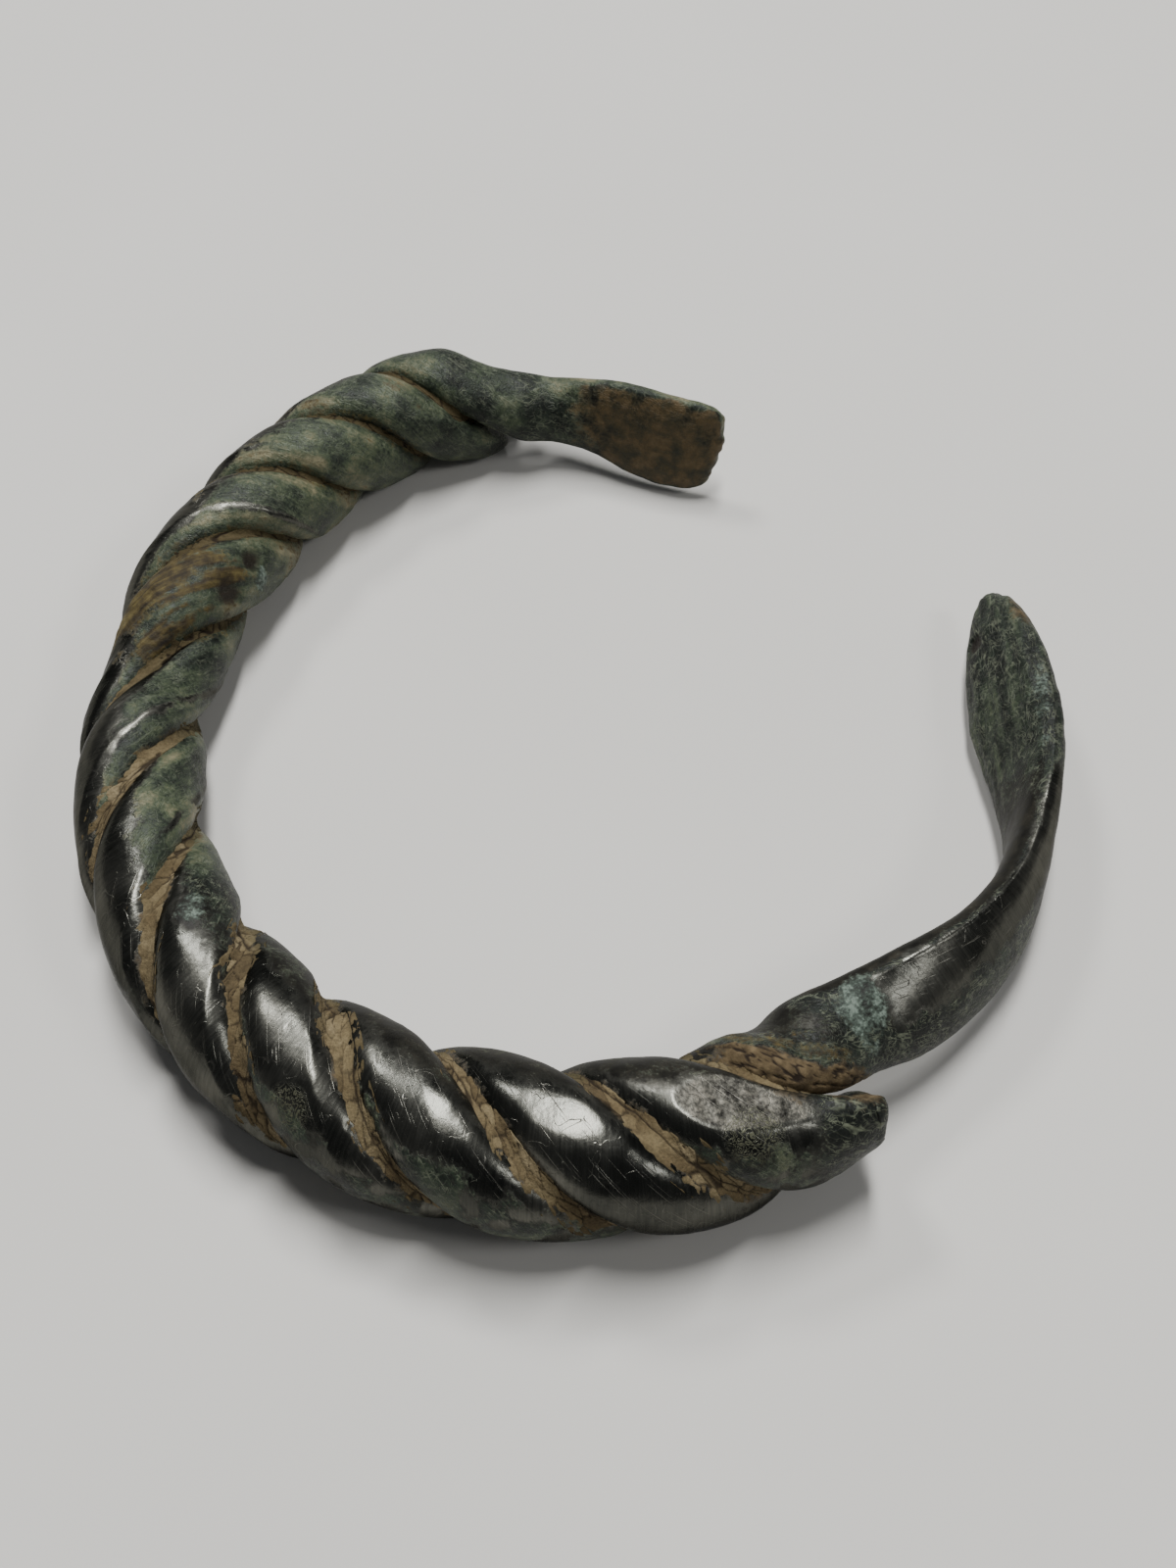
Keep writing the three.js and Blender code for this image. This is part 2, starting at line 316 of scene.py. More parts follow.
@dataclass
class Sections:
    """Sections of a rod at a row of ring angles, each value an array along the row."""

    radius: np.ndarray
    height: np.ndarray
    half_width: np.ndarray
    outer: np.ndarray
    inner: np.ndarray
    turn: np.ndarray
    squareness: np.ndarray

    def ease(self, row: np.ndarray, share: np.ndarray) -> None:
        """Moves every section towards a terminal's row by a share.

        Args:
            row: radius, height, half width, half thickness and turn at each angle.
            share: 0 keeps the section, 1 takes the row's.
        """
        radius, height, half_width, half_thickness, turn = row.T
        self.radius = self.radius + (radius - self.radius) * share
        self.height = self.height + (height - self.height) * share
        self.half_width = self.half_width + (half_width - self.half_width) * share
        self.outer = self.outer + (half_thickness - self.outer) * share
        self.inner = self.inner + (half_thickness - self.inner) * share
        self.turn = self.turn + (turn - self.turn) * share

    def plane(self, out: np.ndarray, across: np.ndarray) -> tuple[np.ndarray, np.ndarray]:
        """Turns places in the rod's own section by the section's turn, and sets them at its middle.

        Args:
            out: distances out of the twist, in mm.
            across: distances across the section, in mm.

        Returns:
            Distances from the ring centre and heights, in mm.
        """
        turn = np.radians(self.turn)[:, None]
        inwards = out * np.cos(turn) - across * np.sin(turn)
        upwards = out * np.sin(turn) + across * np.cos(turn)
        return self.radius[:, None] - inwards, self.height[:, None] + upwards - WEAR_DEPTH

    def local(self, sides: np.ndarray, width: np.ndarray, thinning: float) -> tuple[np.ndarray, np.ndarray]:
        """Section outline: a superellipse whose outer and inner halves have their own depth.

        Args:
            sides: degrees round the section, one row or a row for each angle.
            width: share of the full width at each angle.
            thinning: power with which thickness follows width.

        Returns:
            Distances out of the twist and across it, in mm.
        """
        c, s = np.cos(np.radians(sides)), np.sin(np.radians(sides))
        power = 2 / self.squareness[:, None]
        depth = np.where(c > 0, self.outer[:, None], self.inner[:, None]) * width[:, None] ** thinning
        out = np.sign(c) * np.abs(c) ** power * depth
        across = np.sign(s) * np.abs(s) ** power * (self.half_width * width)[:, None]
        return out, across


def on_ring(angles: np.ndarray, radius: np.ndarray, height: np.ndarray) -> np.ndarray:
    """Points in the part's frame: the ring centre, plus the radius along each ring angle.

    Args:
        angles: ring angles, one for each row.
        radius: distances from the ring centre.
        height: heights over the floor.

    Returns:
        Rows of points, in mm.
    """
    turn = np.radians(angles)[:, None]
    x = RING_CENTRE[0] + radius * np.cos(turn)
    y = RING_CENTRE[1] + radius * np.sin(turn)
    return np.stack(np.broadcast_arrays(x, y, height), axis=-1)


@dataclass
class Surface:
    """A rod's surface as a grid: rows along the rod, columns round its section."""

    points: np.ndarray
    normals: np.ndarray
    angle: np.ndarray
    side: np.ndarray
    lay: np.ndarray

    @property
    def outwards(self) -> np.ndarray:
        """How far the surface faces away from the ring centre, from -1 to 1."""
        turn = np.radians(self.angle)
        return self.normals[..., 0] * np.cos(turn) + self.normals[..., 1] * np.sin(turn)

    @property
    def upwards(self) -> np.ndarray:
        """How far the surface faces up, from -1 to 1."""
        return self.normals[..., 2]

    def spot(self, mark: Mark) -> tuple[np.ndarray, np.ndarray]:
        """Grid place of a mark.

        Args:
            mark: the mark, by its ring angle and side.

        Returns:
            The point and the normal there.
        """
        row = np.argmin(np.abs(self.angle[:, 0] - mark.angle))
        column = np.argmin(np.abs(self.side[0] - mark.side))
        return self.points[row, column], self.normals[row, column]

    def away(self, mark: Mark) -> np.ndarray:
        """Straight distance of every grid point from a mark, in mm."""
        return np.linalg.norm(self.points - self.spot(mark)[0], axis=-1)


@dataclass(frozen=True)
class Grain:
    """Random unevenness: feature size in mm, a shift that sets it apart, octaves and lay.

    With a lay it is drawn out along a rod.
    """

    size: float
    shift: float = 0.0
    octaves: int = 3
    lay: Triple | None = None

    def at(self, places: np.ndarray, noise: Noise) -> np.ndarray:
        """Values from about -1 to 1 at places in mm."""
        return noise.cloud(places + self.shift, self.size, self.octaves)

    def on(self, s: Surface, noise: Noise) -> np.ndarray:
        """Values from about -1 to 1 over a rod's surface."""
        return self.at(s.points if self.lay is None else s.lay * np.array(self.lay), noise)


@dataclass(frozen=True)
class Stretch:
    """A stretch that fades in from start to full and out from fade to end."""

    start: float
    full: float
    fade: float
    end: float

    def share(self, value: np.ndarray) -> np.ndarray:
        """Product of a smooth step up and a smooth step down."""
        return ramp(value, self.start, self.full) * ramp(value, self.end, self.fade)


@dataclass(frozen=True)
class Patch:
    """A soft spot on a rod: its ring angle and side, each with how far it reaches."""

    angle: float
    reach: float
    side: float
    spread: float

    def share(self, s: Surface) -> np.ndarray:
        """Product of a bell curve along the ring and one round the section."""
        return bell(s.angle, self.angle, self.reach) * bell(s.side, self.side, self.spread)


def broken_up(noise: np.ndarray, level: float, depth: float) -> np.ndarray:
    """Share that noise breaks up: the level plus the depth times the noise, held from 0 to 1."""
    return np.clip(level + depth * noise, 0, 1)


def grid_normals(points: np.ndarray) -> np.ndarray:
    """Normals of a closed tube's grid: cross product of the steps round it and along it.

    Args:
        points: grid of places, rows along the tube and columns round it.

    Returns:
        A unit vector for each place, pointing outwards.
    """
    along = np.gradient(points, axis=0)
    around = np.roll(points, -1, axis=1) - np.roll(points, 1, axis=1)
    normals = np.cross(around, along)
    return normals / np.maximum(np.linalg.norm(normals, axis=-1, keepdims=True), TINY)


def tube_mesh(name: str, points: np.ndarray, ends: np.ndarray) -> bpy.types.Mesh:
    """Closed mesh of a tube: a quad for each cell of the grid, and a fan to a point at each end.

    Args:
        name: the mesh's name.
        points: grid of places in mm, rows along the tube and columns round it.
        ends: the first and the last end point, in mm.

    Returns:
        The mesh, in metres, smooth and facing outwards.
    """
    rows, columns = points.shape[:2]
    index = 1 + np.arange(rows * columns).reshape(rows, columns)
    turned = np.roll(index, -1, axis=1)
    quads = np.stack([index[:-1], turned[:-1], turned[1:], index[1:]], axis=-1).reshape(-1, 4)
    last = rows * columns + 1
    start = np.stack([np.zeros(columns, int), turned[0], index[0]], axis=-1)
    finish = np.stack([np.full(columns, last), index[-1], turned[-1]], axis=-1)
    places = np.vstack([ends[:1], points.reshape(-1, 3), ends[1:]]) * MM
    corners = np.concatenate([quads.ravel(), start.ravel(), finish.ravel()])
    sizes = np.concatenate([np.full(len(quads), 4), np.full(2 * columns, 3)])

    mesh = bpy.data.meshes.new(name)
    mesh.vertices.add(len(places))
    mesh.vertices.foreach_set("co", places.ravel())
    mesh.loops.add(len(corners))
    mesh.loops.foreach_set("vertex_index", corners)
    mesh.polygons.add(len(sizes))
    mesh.polygons.foreach_set("loop_start", np.concatenate([[0], np.cumsum(sizes)[:-1]]))
    mesh.update(calc_edges=True)
    mesh.shade_smooth()
    mesh.validate()
    return mesh


def paint(mesh: bpy.types.Mesh, fields: Mapping[str, np.ndarray]) -> None:
    """Stores fields on a tube's points, for its material to read.

    Args:
        mesh: a mesh made by tube_mesh.
        fields: name and grid of numbers or vectors; the two end points take the nearest row's mean.
    """
    for name, grid in fields.items():
        flat = grid.reshape(grid.shape[0] * grid.shape[1], -1)
        ends = [grid[row].reshape(grid.shape[1], -1).mean(axis=0) for row in (0, -1)]
        values = np.vstack([ends[:1], flat, ends[1:]]).astype(np.float32)
        vector = values.shape[1] == 3
        layer = mesh.attributes.new(name, "FLOAT_VECTOR" if vector else "FLOAT", "POINT")
        layer.data.foreach_set("vector" if vector else "value", values.ravel())


def place_piece(
    name: str,
    points: np.ndarray,
    ends: np.ndarray,
    fields: Mapping[str, np.ndarray],
    material: bpy.types.Material,
) -> bpy.types.Object:
    """Makes a tube a piece of the bangle.

    Args:
        name: the piece's name.
        points: grid of places in mm.
        ends: the first and the last end point, in mm.
        fields: what is painted on its points.
        material: its finish.

    Returns:
        The piece, at the origin, riding on the bangle's one body.
    """
    mesh = tube_mesh(name, points, ends)
    paint(mesh, fields)
    mesh.materials.append(material)
    piece = bpy.data.objects.new(name, mesh)
    bpy.context.scene.collection.objects.link(piece)
    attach(piece, BODY)
    log.info("%s: %d faces", name, len(mesh.polygons))
    return piece


def linear(colour: str) -> tuple[float, float, float, float]:
    """Linear RGBA of an sRGB hex colour such as #8a7656."""
    channels = (int(colour[i : i + 2], 16) / 255 for i in (1, 3, 5))
    return (*(c / 12.92 if c <= 0.04045 else ((c + 0.055) / 1.055) ** 2.4 for c in channels), 1.0)


class Kind(Enum):
    """Node types that the finishes are made of."""

    PLACE = "ShaderNodeTexCoord"
    FIELD = "ShaderNodeAttribute"
    STRETCH = "ShaderNodeMapping"
    NOISE = "ShaderNodeTexNoise"
    RANGE = "ShaderNodeMapRange"
    MATHS = "ShaderNodeMath"
    MIX = "ShaderNodeMix"
    RAMP = "ShaderNodeValToRGB"
    BUMP = "ShaderNodeBump"
    SHADER = "ShaderNodeBsdfPrincipled"
    OUTPUT = "ShaderNodeOutputMaterial"


def add(
    tree: bpy.types.NodeTree,
    kind: Kind,
    inputs: Mapping[Any, Any] | None = None,
    settings: Mapping[str, Any] | None = None,
    stops: Sequence[tuple[float, str]] = (),
    out: int | str = 0,
) -> Socket | None:
    """Adds a node with its settings, input values, links and colour stops.

    Args:
        tree: the material's node tree.
        kind: the node's type.
        inputs: by name or number, a value, an sRGB hex colour or an output to link from.
        settings: properties by name.
        stops: positions and sRGB hex colours of a colour ramp.
        out: the output that is wanted, by name or number.

    Returns:
        That output, or nothing for a node that has none.
    """
    node = tree.nodes.new(kind.value)
    for name, value in (settings or {}).items():
        setattr(node, name, value)
    for name, value in (inputs or {}).items():
        if isinstance(value, bpy.types.NodeSocket):
            tree.links.new(value, node.inputs[name])
        else:
            node.inputs[name].default_value = linear(value) if isinstance(value, str) else value
    for i, (position, colour) in enumerate(stops):
        elements = node.color_ramp.elements
        element = elements[i] if i < 2 else elements.new(position)
        element.position = position
        element.color = linear(colour)
    return node.outputs[out] if node.outputs else None


def blank_material(name: str) -> tuple[bpy.types.Material, Callable[..., Any]]:
    """Starts a material.

    Args:
        name: the real material and how it was made.

    Returns:
        The empty material, and the function that adds a node to it.
    """
    material = bpy.data.materials.new(name)
    material.use_nodes = True
    material.node_tree.nodes.clear()
    return material, functools.partial(add, material.node_tree)


@dataclass(frozen=True)
class Coat:
    """One layer over what lies below it: its name, roughness, share of metal and kind of relief.

    A roughness is a number, or the name of a reading.
    """

    name: str
    rough: float | str
    metal: float
    relief: str


@dataclass(frozen=True)
class Pattern:
    """Noise of a feature size in mm; a stretch makes it follow the rod, along it or round it."""

    size: float
    detail: float
    rough: float
    bend: float = 0.0
    stretch: Triple | None = None


@dataclass(frozen=True)
class Reading:
    """A pattern or field read between two of its values, which become two others."""

    pattern: str
    low: float
    high: float
    start: float = 0.0
    end: float = 1.0


@dataclass(frozen=True)
class WornBronze:
    """Tin bronze, cast, twisted and hammered, then buried and handled.

    Handling has rubbed the crests to a charcoal satin, brushed across the rod, that breaks the
    light into ragged strips. The hollows keep grey-green copper carbonate with paler fibres,
    brown oxide and ochre crust, and a film of the earth that the find lay in.
    """

    name: str = "tin bronze, worn smooth and patinated"
    # Fields painted on the rods, and the two values between which each one takes hold.
    holds: Mapping[str, Pair] = field(default_factory=lambda: {
        "polish": (0.18, 0.8), "bare": (0.3, 0.75), "green": (0.3, 0.66), "copper": (0.3, 0.75),
        "turquoise": (0.36, 0.8), "crust": (0.36, 0.66), "dust": (0.36, 0.8), "cake": (0.35, 0.65),
    })
    # Fields that are read as they are.
    plain_fields: tuple[str, ...] = ("pale", "shade", "ring", "hollow")
    # Scratches, brush strokes and fibres are drawn coarser than real ones, so that they show.
    patterns: Mapping[str, Pattern] = field(default_factory=lambda: {
        "broad": Pattern(5.5, 3, 0.5),
        "mottle": Pattern(1.3, 5, 0.62),
        "speck": Pattern(0.75, 3, 0.5),
        "grain": Pattern(0.28, 4, 0.6),
        "curl": Pattern(1.15, 2, 0.5, 2.2),
        "nick": Pattern(1.7, 1, 0.4, 0.7),
        "streak": Pattern(0.55, 3, 0.6, 0.3, (0.12, 1.0, 1.0)),
        "stroke": Pattern(0.17, 3, 0.6, 0.0, (1.0, 0.07, 0.07)),
        "scratch": Pattern(0.16, 1, 0.5, 0.0, (0.05, 1.0, 1.0)),
        "hair": Pattern(1.0, 2, 0.5, 1.5, (0.4, 1.0, 1.0)),
    })
    # Patterns laid over each other: the lower, the upper and the upper one's share.
    blends: Mapping[str, tuple[str, str, float]] = field(default_factory=lambda: {
        "swept": ("broad", "stroke", 0.3),
        "streaky": ("mottle", "streak", 0.3),
        "uneven": ("streaky", "grain", 0.4),
        "flaked": ("speck", "streak", 0.5),
        "grainy": ("mottle", "grain", 0.5),
    })
    # Lines along one value of a bent pattern: that value, and how far from it a line reaches.
    lines: Mapping[str, Pair] = field(default_factory=lambda: {
        "curl": (0.52, 0.032), "hair": (0.5, 0.038), "nick": (0.5, 0.012),
    })
    # Rings are waves of the distance from their middle, bent by curls.
    ring_bend: float = 1.6
    ring_waves: float = 24.0
    readings: Mapping[str, Reading] = field(default_factory=lambda: {
        "scratches": Reading("scratch", 0.66, 0.76),
        "torn": Reading("grain", 0.25, 0.75, -0.2, 0.2),
        "patchy": Reading("mottle", 0.25, 0.75, -0.28, 0.28),
        "fibre patch": Reading("speck", 0.36, 0.62, 0.0, 0.8),
        "nick patch": Reading("mottle", 0.48, 0.6, 0.0, 0.55),
        "on dark": Reading("pale", 0.1, 0.7, 1.0, 0.5),
        "ring line": Reading("wave", 0.2, 0.9, 0.0, 0.6),
        "near ring": Reading("ring", 1.0, 1.5, 1.0, 0.0),
        # Share of pit colour: dark corrosion in pits, and painted shade in pits and in the caked earth's
        # cracks.
        "in hollow": Reading("hollow", 0.2, 0.8, 0.0, 0.9),
        "patina tone": Reading("uneven", 0.3, 0.7, 0.06, 0.94),
        "satin rough": Reading("mottle", 0.3, 0.7, 0.4, 0.55),
        "polish rough": Reading("swept", 0.3, 0.7, 0.2, 0.36),
        "bare rough": Reading("grainy", 0.4, 0.6, 0.3, 0.46),
        "patina rough": Reading("grain", 0.3, 0.7, 0.36, 0.62),
    })
    scratch_share: float = 0.5
    shade_share: float = 0.5
    # Colours that a pattern picks from.
    ramps: Mapping[str, tuple[str, Stops]] = field(default_factory=lambda: {
        "satin": ("mottle", ((0.3, "#151412"), (0.5, "#21201b"), (0.7, "#312e26"))),
        "polish": ("swept", ((0.3, "#333431"), (0.5, "#4b4b46"), (0.7, "#66655e"))),
        "bare": ("grainy", ((0.38, "#262523"), (0.5, "#403f3a"), (0.62, "#615e56"))),
        "copper": ("mottle", ((0.3, "#282a21"), (0.45, "#3d3726"), (0.58, "#50432d"), (0.75, "#62563f"))),
        "turquoise": ("grainy", ((0.38, "#161b15"), (0.49, "#38423a"), (0.6, "#677369"))),
        "crust": ("flaked", ((0.33, "#19140d"), (0.45, "#302816"), (0.55, "#473d21"), (0.7, "#615733"))),
        "dust": ("speck", ((0.3, "#382e20"), (0.5, "#4f432f"), (0.7, "#665841"))),
    })
    dark_patina: Stops = ((0.28, "#0b0f0b"), (0.44, "#161d17"), (0.58, "#273227"), (0.74, "#404a39"))
    pale_patina: Stops = (
        (0.26, "#131712"), (0.4, "#293026"), (0.53, "#424a37"), (0.66, "#605f49"), (0.8, "#847c61"),
    )
    fibre: str = "#6d725f"
    scuff: str = "#6f6d66"
    ring: str = "#565741"
    # Dark corrosion in pits, also painted as shade in them and in the caked earth's cracks.
    pit_corrosion_and_shade: str = "#1a130e"
    # Relief of each kind of coat: patterns, each times its own height in mm.
    reliefs: Mapping[str, tuple[tuple[str, float], ...]] = field(default_factory=lambda: {
        "smooth": (("stroke", 0.004), ("speck", 0.024), ("grain", 0.009)),
        "fuzzy": (("grain", 0.055), ("fibres", 0.018)),
        "sandy": (("grain", 0.08),),
        "cut": (("stroke", 0.004), ("scratches", -0.008), ("nick line", -0.008)),
    })
    # The finishes from the metal outwards, the first of which covers all.
    coats: tuple[Coat, ...] = (
        Coat("satin", "satin rough", 0.5, "smooth"),
        Coat("polish", "polish rough", 1.0, "smooth"),
        Coat("bare", "bare rough", 1.0, "smooth"),
        Coat("scuff", 0.4, 1.0, "cut"),
        Coat("green", "patina rough", 0.12, "fuzzy"),
        Coat("fibre", 0.55, 0.1, "fuzzy"),
        Coat("copper", 0.55, 0.2, "fuzzy"),
        Coat("turquoise", 0.6, 0.0, "sandy"),
        Coat("crust", 0.7, 0.0, "sandy"),
        Coat("ring", 0.6, 0.1, "fuzzy"),
        Coat("dust", 0.9, 0.0, "sandy"),
        Coat("cake", 0.92, 0.0, "sandy"),
    )
    specular_tint: float = 0.45

    def material(self) -> bpy.types.Material:
        """Builds the material: patterns, shares, coats laid over each other, then the shader.

        Returns:
            The material, which reads the fields painted on the rods.
        """
        material, node = blank_material(self.name)
        seen = self.seen(node)
        shares = self.shares(node, seen)
        colours = self.colours(node, seen)
        heights = self.heights(node, seen)
        base, *others = self.coats
        colour, rough = colours[base.name], seen[base.rough]
        metal, height = base.metal, heights[base.relief]
        for coat in others:
            share = shares[coat.name]
            over = {0: share, 6: colour, 7: colours[coat.name]}
            colour = node(Kind.MIX, over, {"data_type": "RGBA"}, out=2)
            rough = node(Kind.MIX, {0: share, 2: rough, 3: seen.get(coat.rough, coat.rough)})
            metal = node(Kind.MIX, {0: share, 2: metal, 3: coat.metal})
            height = node(Kind.MIX, {0: share, 2: height, 3: heights[coat.relief]})
        # Painted shade in the hollows: pits and cracks darkened, the pits also for their corrosion.
        over = {0: seen["in hollow"], 6: colour, 7: self.pit_corrosion_and_shade}
        colour = node(Kind.MIX, over, {"data_type": "RGBA"}, out=2)
        normal = node(Kind.BUMP, {"Strength": 1.0, "Distance": MM, "Height": height})
        shader = node(Kind.SHADER, {
            "Base Color": colour,
            "Metallic": metal,
            "Roughness": rough,
            "Normal": normal,
            "Specular Tint": (self.specular_tint,) * 3 + (1.0,),
        })
        node(Kind.OUTPUT, {"Surface": shader})
        return material

    def seen(self, node: Callable[..., Any]) -> dict[str, Any]:
        """Reads the painted fields and draws the patterns, their blends, lines and readings.

        Args:
            node: adds a node to the material.

        Returns:
            An output for each of them, by name.
        """
        names = (*self.holds, *self.plain_fields)
        seen = {n: node(Kind.FIELD, None, {"attribute_name": n}, out="Fac") for n in names}
        place = node(Kind.PLACE, out="Object")
        lay = node(Kind.FIELD, None, {"attribute_name": "lay"}, out="Vector")
        for name, pattern in self.patterns.items():
            vector, scale = place, 1 / (pattern.size * MM)
            if pattern.stretch:
                vector = node(Kind.STRETCH, {"Vector": lay, "Scale": pattern.stretch})
                scale = 1 / pattern.size
            seen[name] = node(Kind.NOISE, {
                "Vector": vector,
                "Scale": scale,
                "Detail": pattern.detail,
                "Roughness": pattern.rough,
                "Distortion": pattern.bend,
            })
        for name, (lower, upper, share) in self.blends.items():
            seen[name] = node(Kind.MIX, {0: share, 2: seen[lower], 3: seen[upper]})
        for name, (middle, width) in self.lines.items():
            off = node(Kind.MATHS, {0: seen[name], 1: middle}, {"operation": "SUBTRACT"})
            off = node(Kind.MATHS, {0: off}, {"operation": "ABSOLUTE"})
            seen[f"{name} line"] = node(Kind.RANGE, {0: off, 1: 0.0, 2: width, 3: 1.0, 4: 0.0})
        both = {0: seen["curl line"], 1: seen["hair line"]}
        seen["fibres"] = node(Kind.MATHS, both, {"operation": "MAXIMUM"})
        bent = {0: seen["curl"], 1: self.ring_bend, 2: seen["ring"]}
        wave = node(Kind.MATHS, bent, {"operation": "MULTIPLY_ADD"})
        wave = node(Kind.MATHS, {0: wave, 1: self.ring_waves}, {"operation": "MULTIPLY"})
        seen["wave"] = node(Kind.MATHS, {0: wave}, {"operation": "SINE"})
        for name, reading in self.readings.items():
            span = {1: reading.low, 2: reading.high, 3: reading.start, 4: reading.end}
            seen[name] = node(Kind.RANGE, {0: seen[reading.pattern]} | span)
        return seen

    def shares(self, node: Callable[..., Any], seen: Mapping[str, Any]) -> dict[str, Any]:
        """Turns the painted fields into shares whose edges are torn by grain and mottle.

        Fibres show on dark patina and nicks on the polish, each in patches of its own.

        Args:
            node: adds a node to the material.
            seen: the fields and patterns.

        Returns:
            A share from 0 to 1 for each coat over the first.
        """
        tear = node(Kind.MATHS, {0: seen["torn"], 1: seen["patchy"]}, {"operation": "ADD"})
        shares = {}
        for name, (low, high) in self.holds.items():
            value = node(Kind.MATHS, {0: seen[name], 1: tear}, {"operation": "ADD"})
            shares[name] = node(Kind.RANGE, {0: value, 1: low, 2: high})
        products = {
            "fibre": (seen["fibres"], seen["fibre patch"], seen["on dark"], shares["green"]),
            "nicks": (seen["nick line"], seen["nick patch"], shares["polish"]),
            "scores": (seen["scratches"], shares["polish"], self.scratch_share),
            "ring": (seen["ring line"], seen["near ring"]),
        }
        for name, (value, *factors) in products.items():
            for factor in factors:
                value = node(Kind.MATHS, {0: value, 1: factor}, {"operation": "MULTIPLY"})
            shares[name] = value
        both = {0: shares["nicks"], 1: shares["scores"]}
        shares["scuff"] = node(Kind.MATHS, both, {"operation": "MAXIMUM"})
        return shares

    def colours(self, node: Callable[..., Any], seen: Mapping[str, Any]) -> dict[str, Any]:
        """Colours each coat; the patina takes its tone from its painted shade and from streaks.

        Args:
            node: adds a node to the material.
            seen: the fields and patterns.

        Returns:
            A colour for each coat: an output, or an sRGB hex value.
        """
        colours = {"scuff": self.scuff, "fibre": self.fibre, "ring": self.ring}
        for name, (pattern, stops) in self.ramps.items():
            colours[name] = node(Kind.RAMP, {0: seen[pattern]}, stops=stops)
        colours["cake"] = colours["dust"]
        tone = node(Kind.MIX, {0: self.shade_share, 2: seen["patina tone"], 3: seen["shade"]})
        dark = node(Kind.RAMP, {0: tone}, stops=self.dark_patina)
        pale = node(Kind.RAMP, {0: tone}, stops=self.pale_patina)
        over = {0: seen["pale"], 6: dark, 7: pale}
        colours["green"] = node(Kind.MIX, over, {"data_type": "RGBA"}, out=2)
        return colours

    def heights(self, node: Callable[..., Any], seen: Mapping[str, Any]) -> dict[str, Any]:
        """Adds up the patterns of each kind of relief.

        Args:
            node: adds a node to the material.
            seen: the fields and patterns.

        Returns:
            An output in mm for each kind of relief.
        """
        heights: dict[str, Any] = {}
        for name, parts in self.reliefs.items():
            heights[name] = 0.0
            for pattern, size in parts:
                inputs = {0: seen[pattern], 1: size, 2: heights[name]}
                heights[name] = node(Kind.MATHS, inputs, {"operation": "MULTIPLY_ADD"})
        return heights


@dataclass(frozen=True)
class DriedEarth:
    """Silty soil, packed wet into the grooves and dried there.

    It is dull and tan, split into plates by fine cracks painted dark as shade, with sandy grain,
    olive where it takes the bronze's green, dark and rusty where it is thin, and painted darker as
    shade along its edges where it meets the rods.
    """

    name: str = "silty earth, dried and cracked"
    tan: Stops = ((0.26, "#403727"), (0.42, "#584c36"), (0.56, "#6b5f46"), (0.76, "#80745b"))
    # Painted shade: colour of the cracks, crevices and holes, dark because shade falls in them.
    crack: str = "#1d160f"
    # Rust colour, also painted along the earth's edges as shade where it meets the rods.
    rust: str = "#39321f"
    olive: str = "#3b3a26"
    grain: Pattern = Pattern(0.2, 4, 0.65)
    cloud: Pattern = Pattern(1.8, 4, 0.6)
    plate_share: float = 0.45
    sand: Reading = Reading("grain", 0.3, 0.7, 0.7, 1.24)
    grain_height: float = 0.1
    rough: float = 0.95
    specular: float = 0.2

    def material(self) -> bpy.types.Material:
        """Builds the material: plates in tans, sand over them, then olive, rust with painted shade along
        the edges, and cracks painted dark as shade.

        Returns:
            The material, which reads the fields painted on the earth.
        """
        material, node = blank_material(self.name)
        names = ("crack", "stain", "olive", "plate")
        read = {n: node(Kind.FIELD, None, {"attribute_name": n}, out="Fac") for n in names}
        place = node(Kind.PLACE, out="Object")
        grain, cloud = (
            node(Kind.NOISE, {
                "Vector": place,
                "Scale": 1 / (pattern.size * MM),
                "Detail": pattern.detail,
                "Roughness": pattern.rough,
            })
            for pattern in (self.grain, self.cloud)
        )
        tone = node(Kind.MIX, {0: self.plate_share, 2: cloud, 3: read["plate"]})
        colour = node(Kind.RAMP, {0: tone}, stops=self.tan)
        span = {1: self.sand.low, 2: self.sand.high, 3: self.sand.start, 4: self.sand.end}
        sand = node(Kind.RANGE, {0: grain} | span)
        settings = {"data_type": "RGBA", "blend_type": "MULTIPLY"}
        colour = node(Kind.MIX, {0: 1.0, 6: colour, 7: sand}, settings, out=2)
        # Olive patina, rust with painted shade along the edges, and painted shade in the cracks.
        for name, over in (("olive", self.olive), ("stain", self.rust), ("crack", self.crack)):
            colour = node(Kind.MIX, {0: read[name], 6: colour, 7: over}, {"data_type": "RGBA"}, out=2)
        bump = {"Strength": 1.0, "Distance": self.grain_height * MM, "Height": grain}
        shader = node(Kind.SHADER, {
            "Base Color": colour,
            "Roughness": self.rough,
            "Specular IOR Level": self.specular,
            "Normal": node(Kind.BUMP, bump),
        })
        node(Kind.OUTPUT, {"Surface": shader})
        return material


@dataclass(frozen=True)
class PaleFloor:
    """Matt white board, sprayed: a pale even surface without gloss."""

    name: str = "matt white board, sprayed"
    tones: Stops = ((0.3, "#c4c2bd"), (0.7, "#c9c7c2"))
    mottle_mm: float = 60.0
    detail: float = 2.0
    rough: float = 0.8

    def material(self) -> bpy.types.Material:
        """Builds the floor's material, with a very faint unevenness of tone.

        Returns:
            The material.
        """
        material, node = blank_material(self.name)
        place = node(Kind.PLACE, out="Object")
        inputs = {"Vector": place, "Scale": 1 / (self.mottle_mm * MM), "Detail": self.detail}
        tone = node(Kind.RAMP, {0: node(Kind.NOISE, inputs)}, stops=self.tones)
        shader = node(Kind.SHADER, {"Base Color": tone, "Roughness": self.rough})
        node(Kind.OUTPUT, {"Surface": shader})
        return material


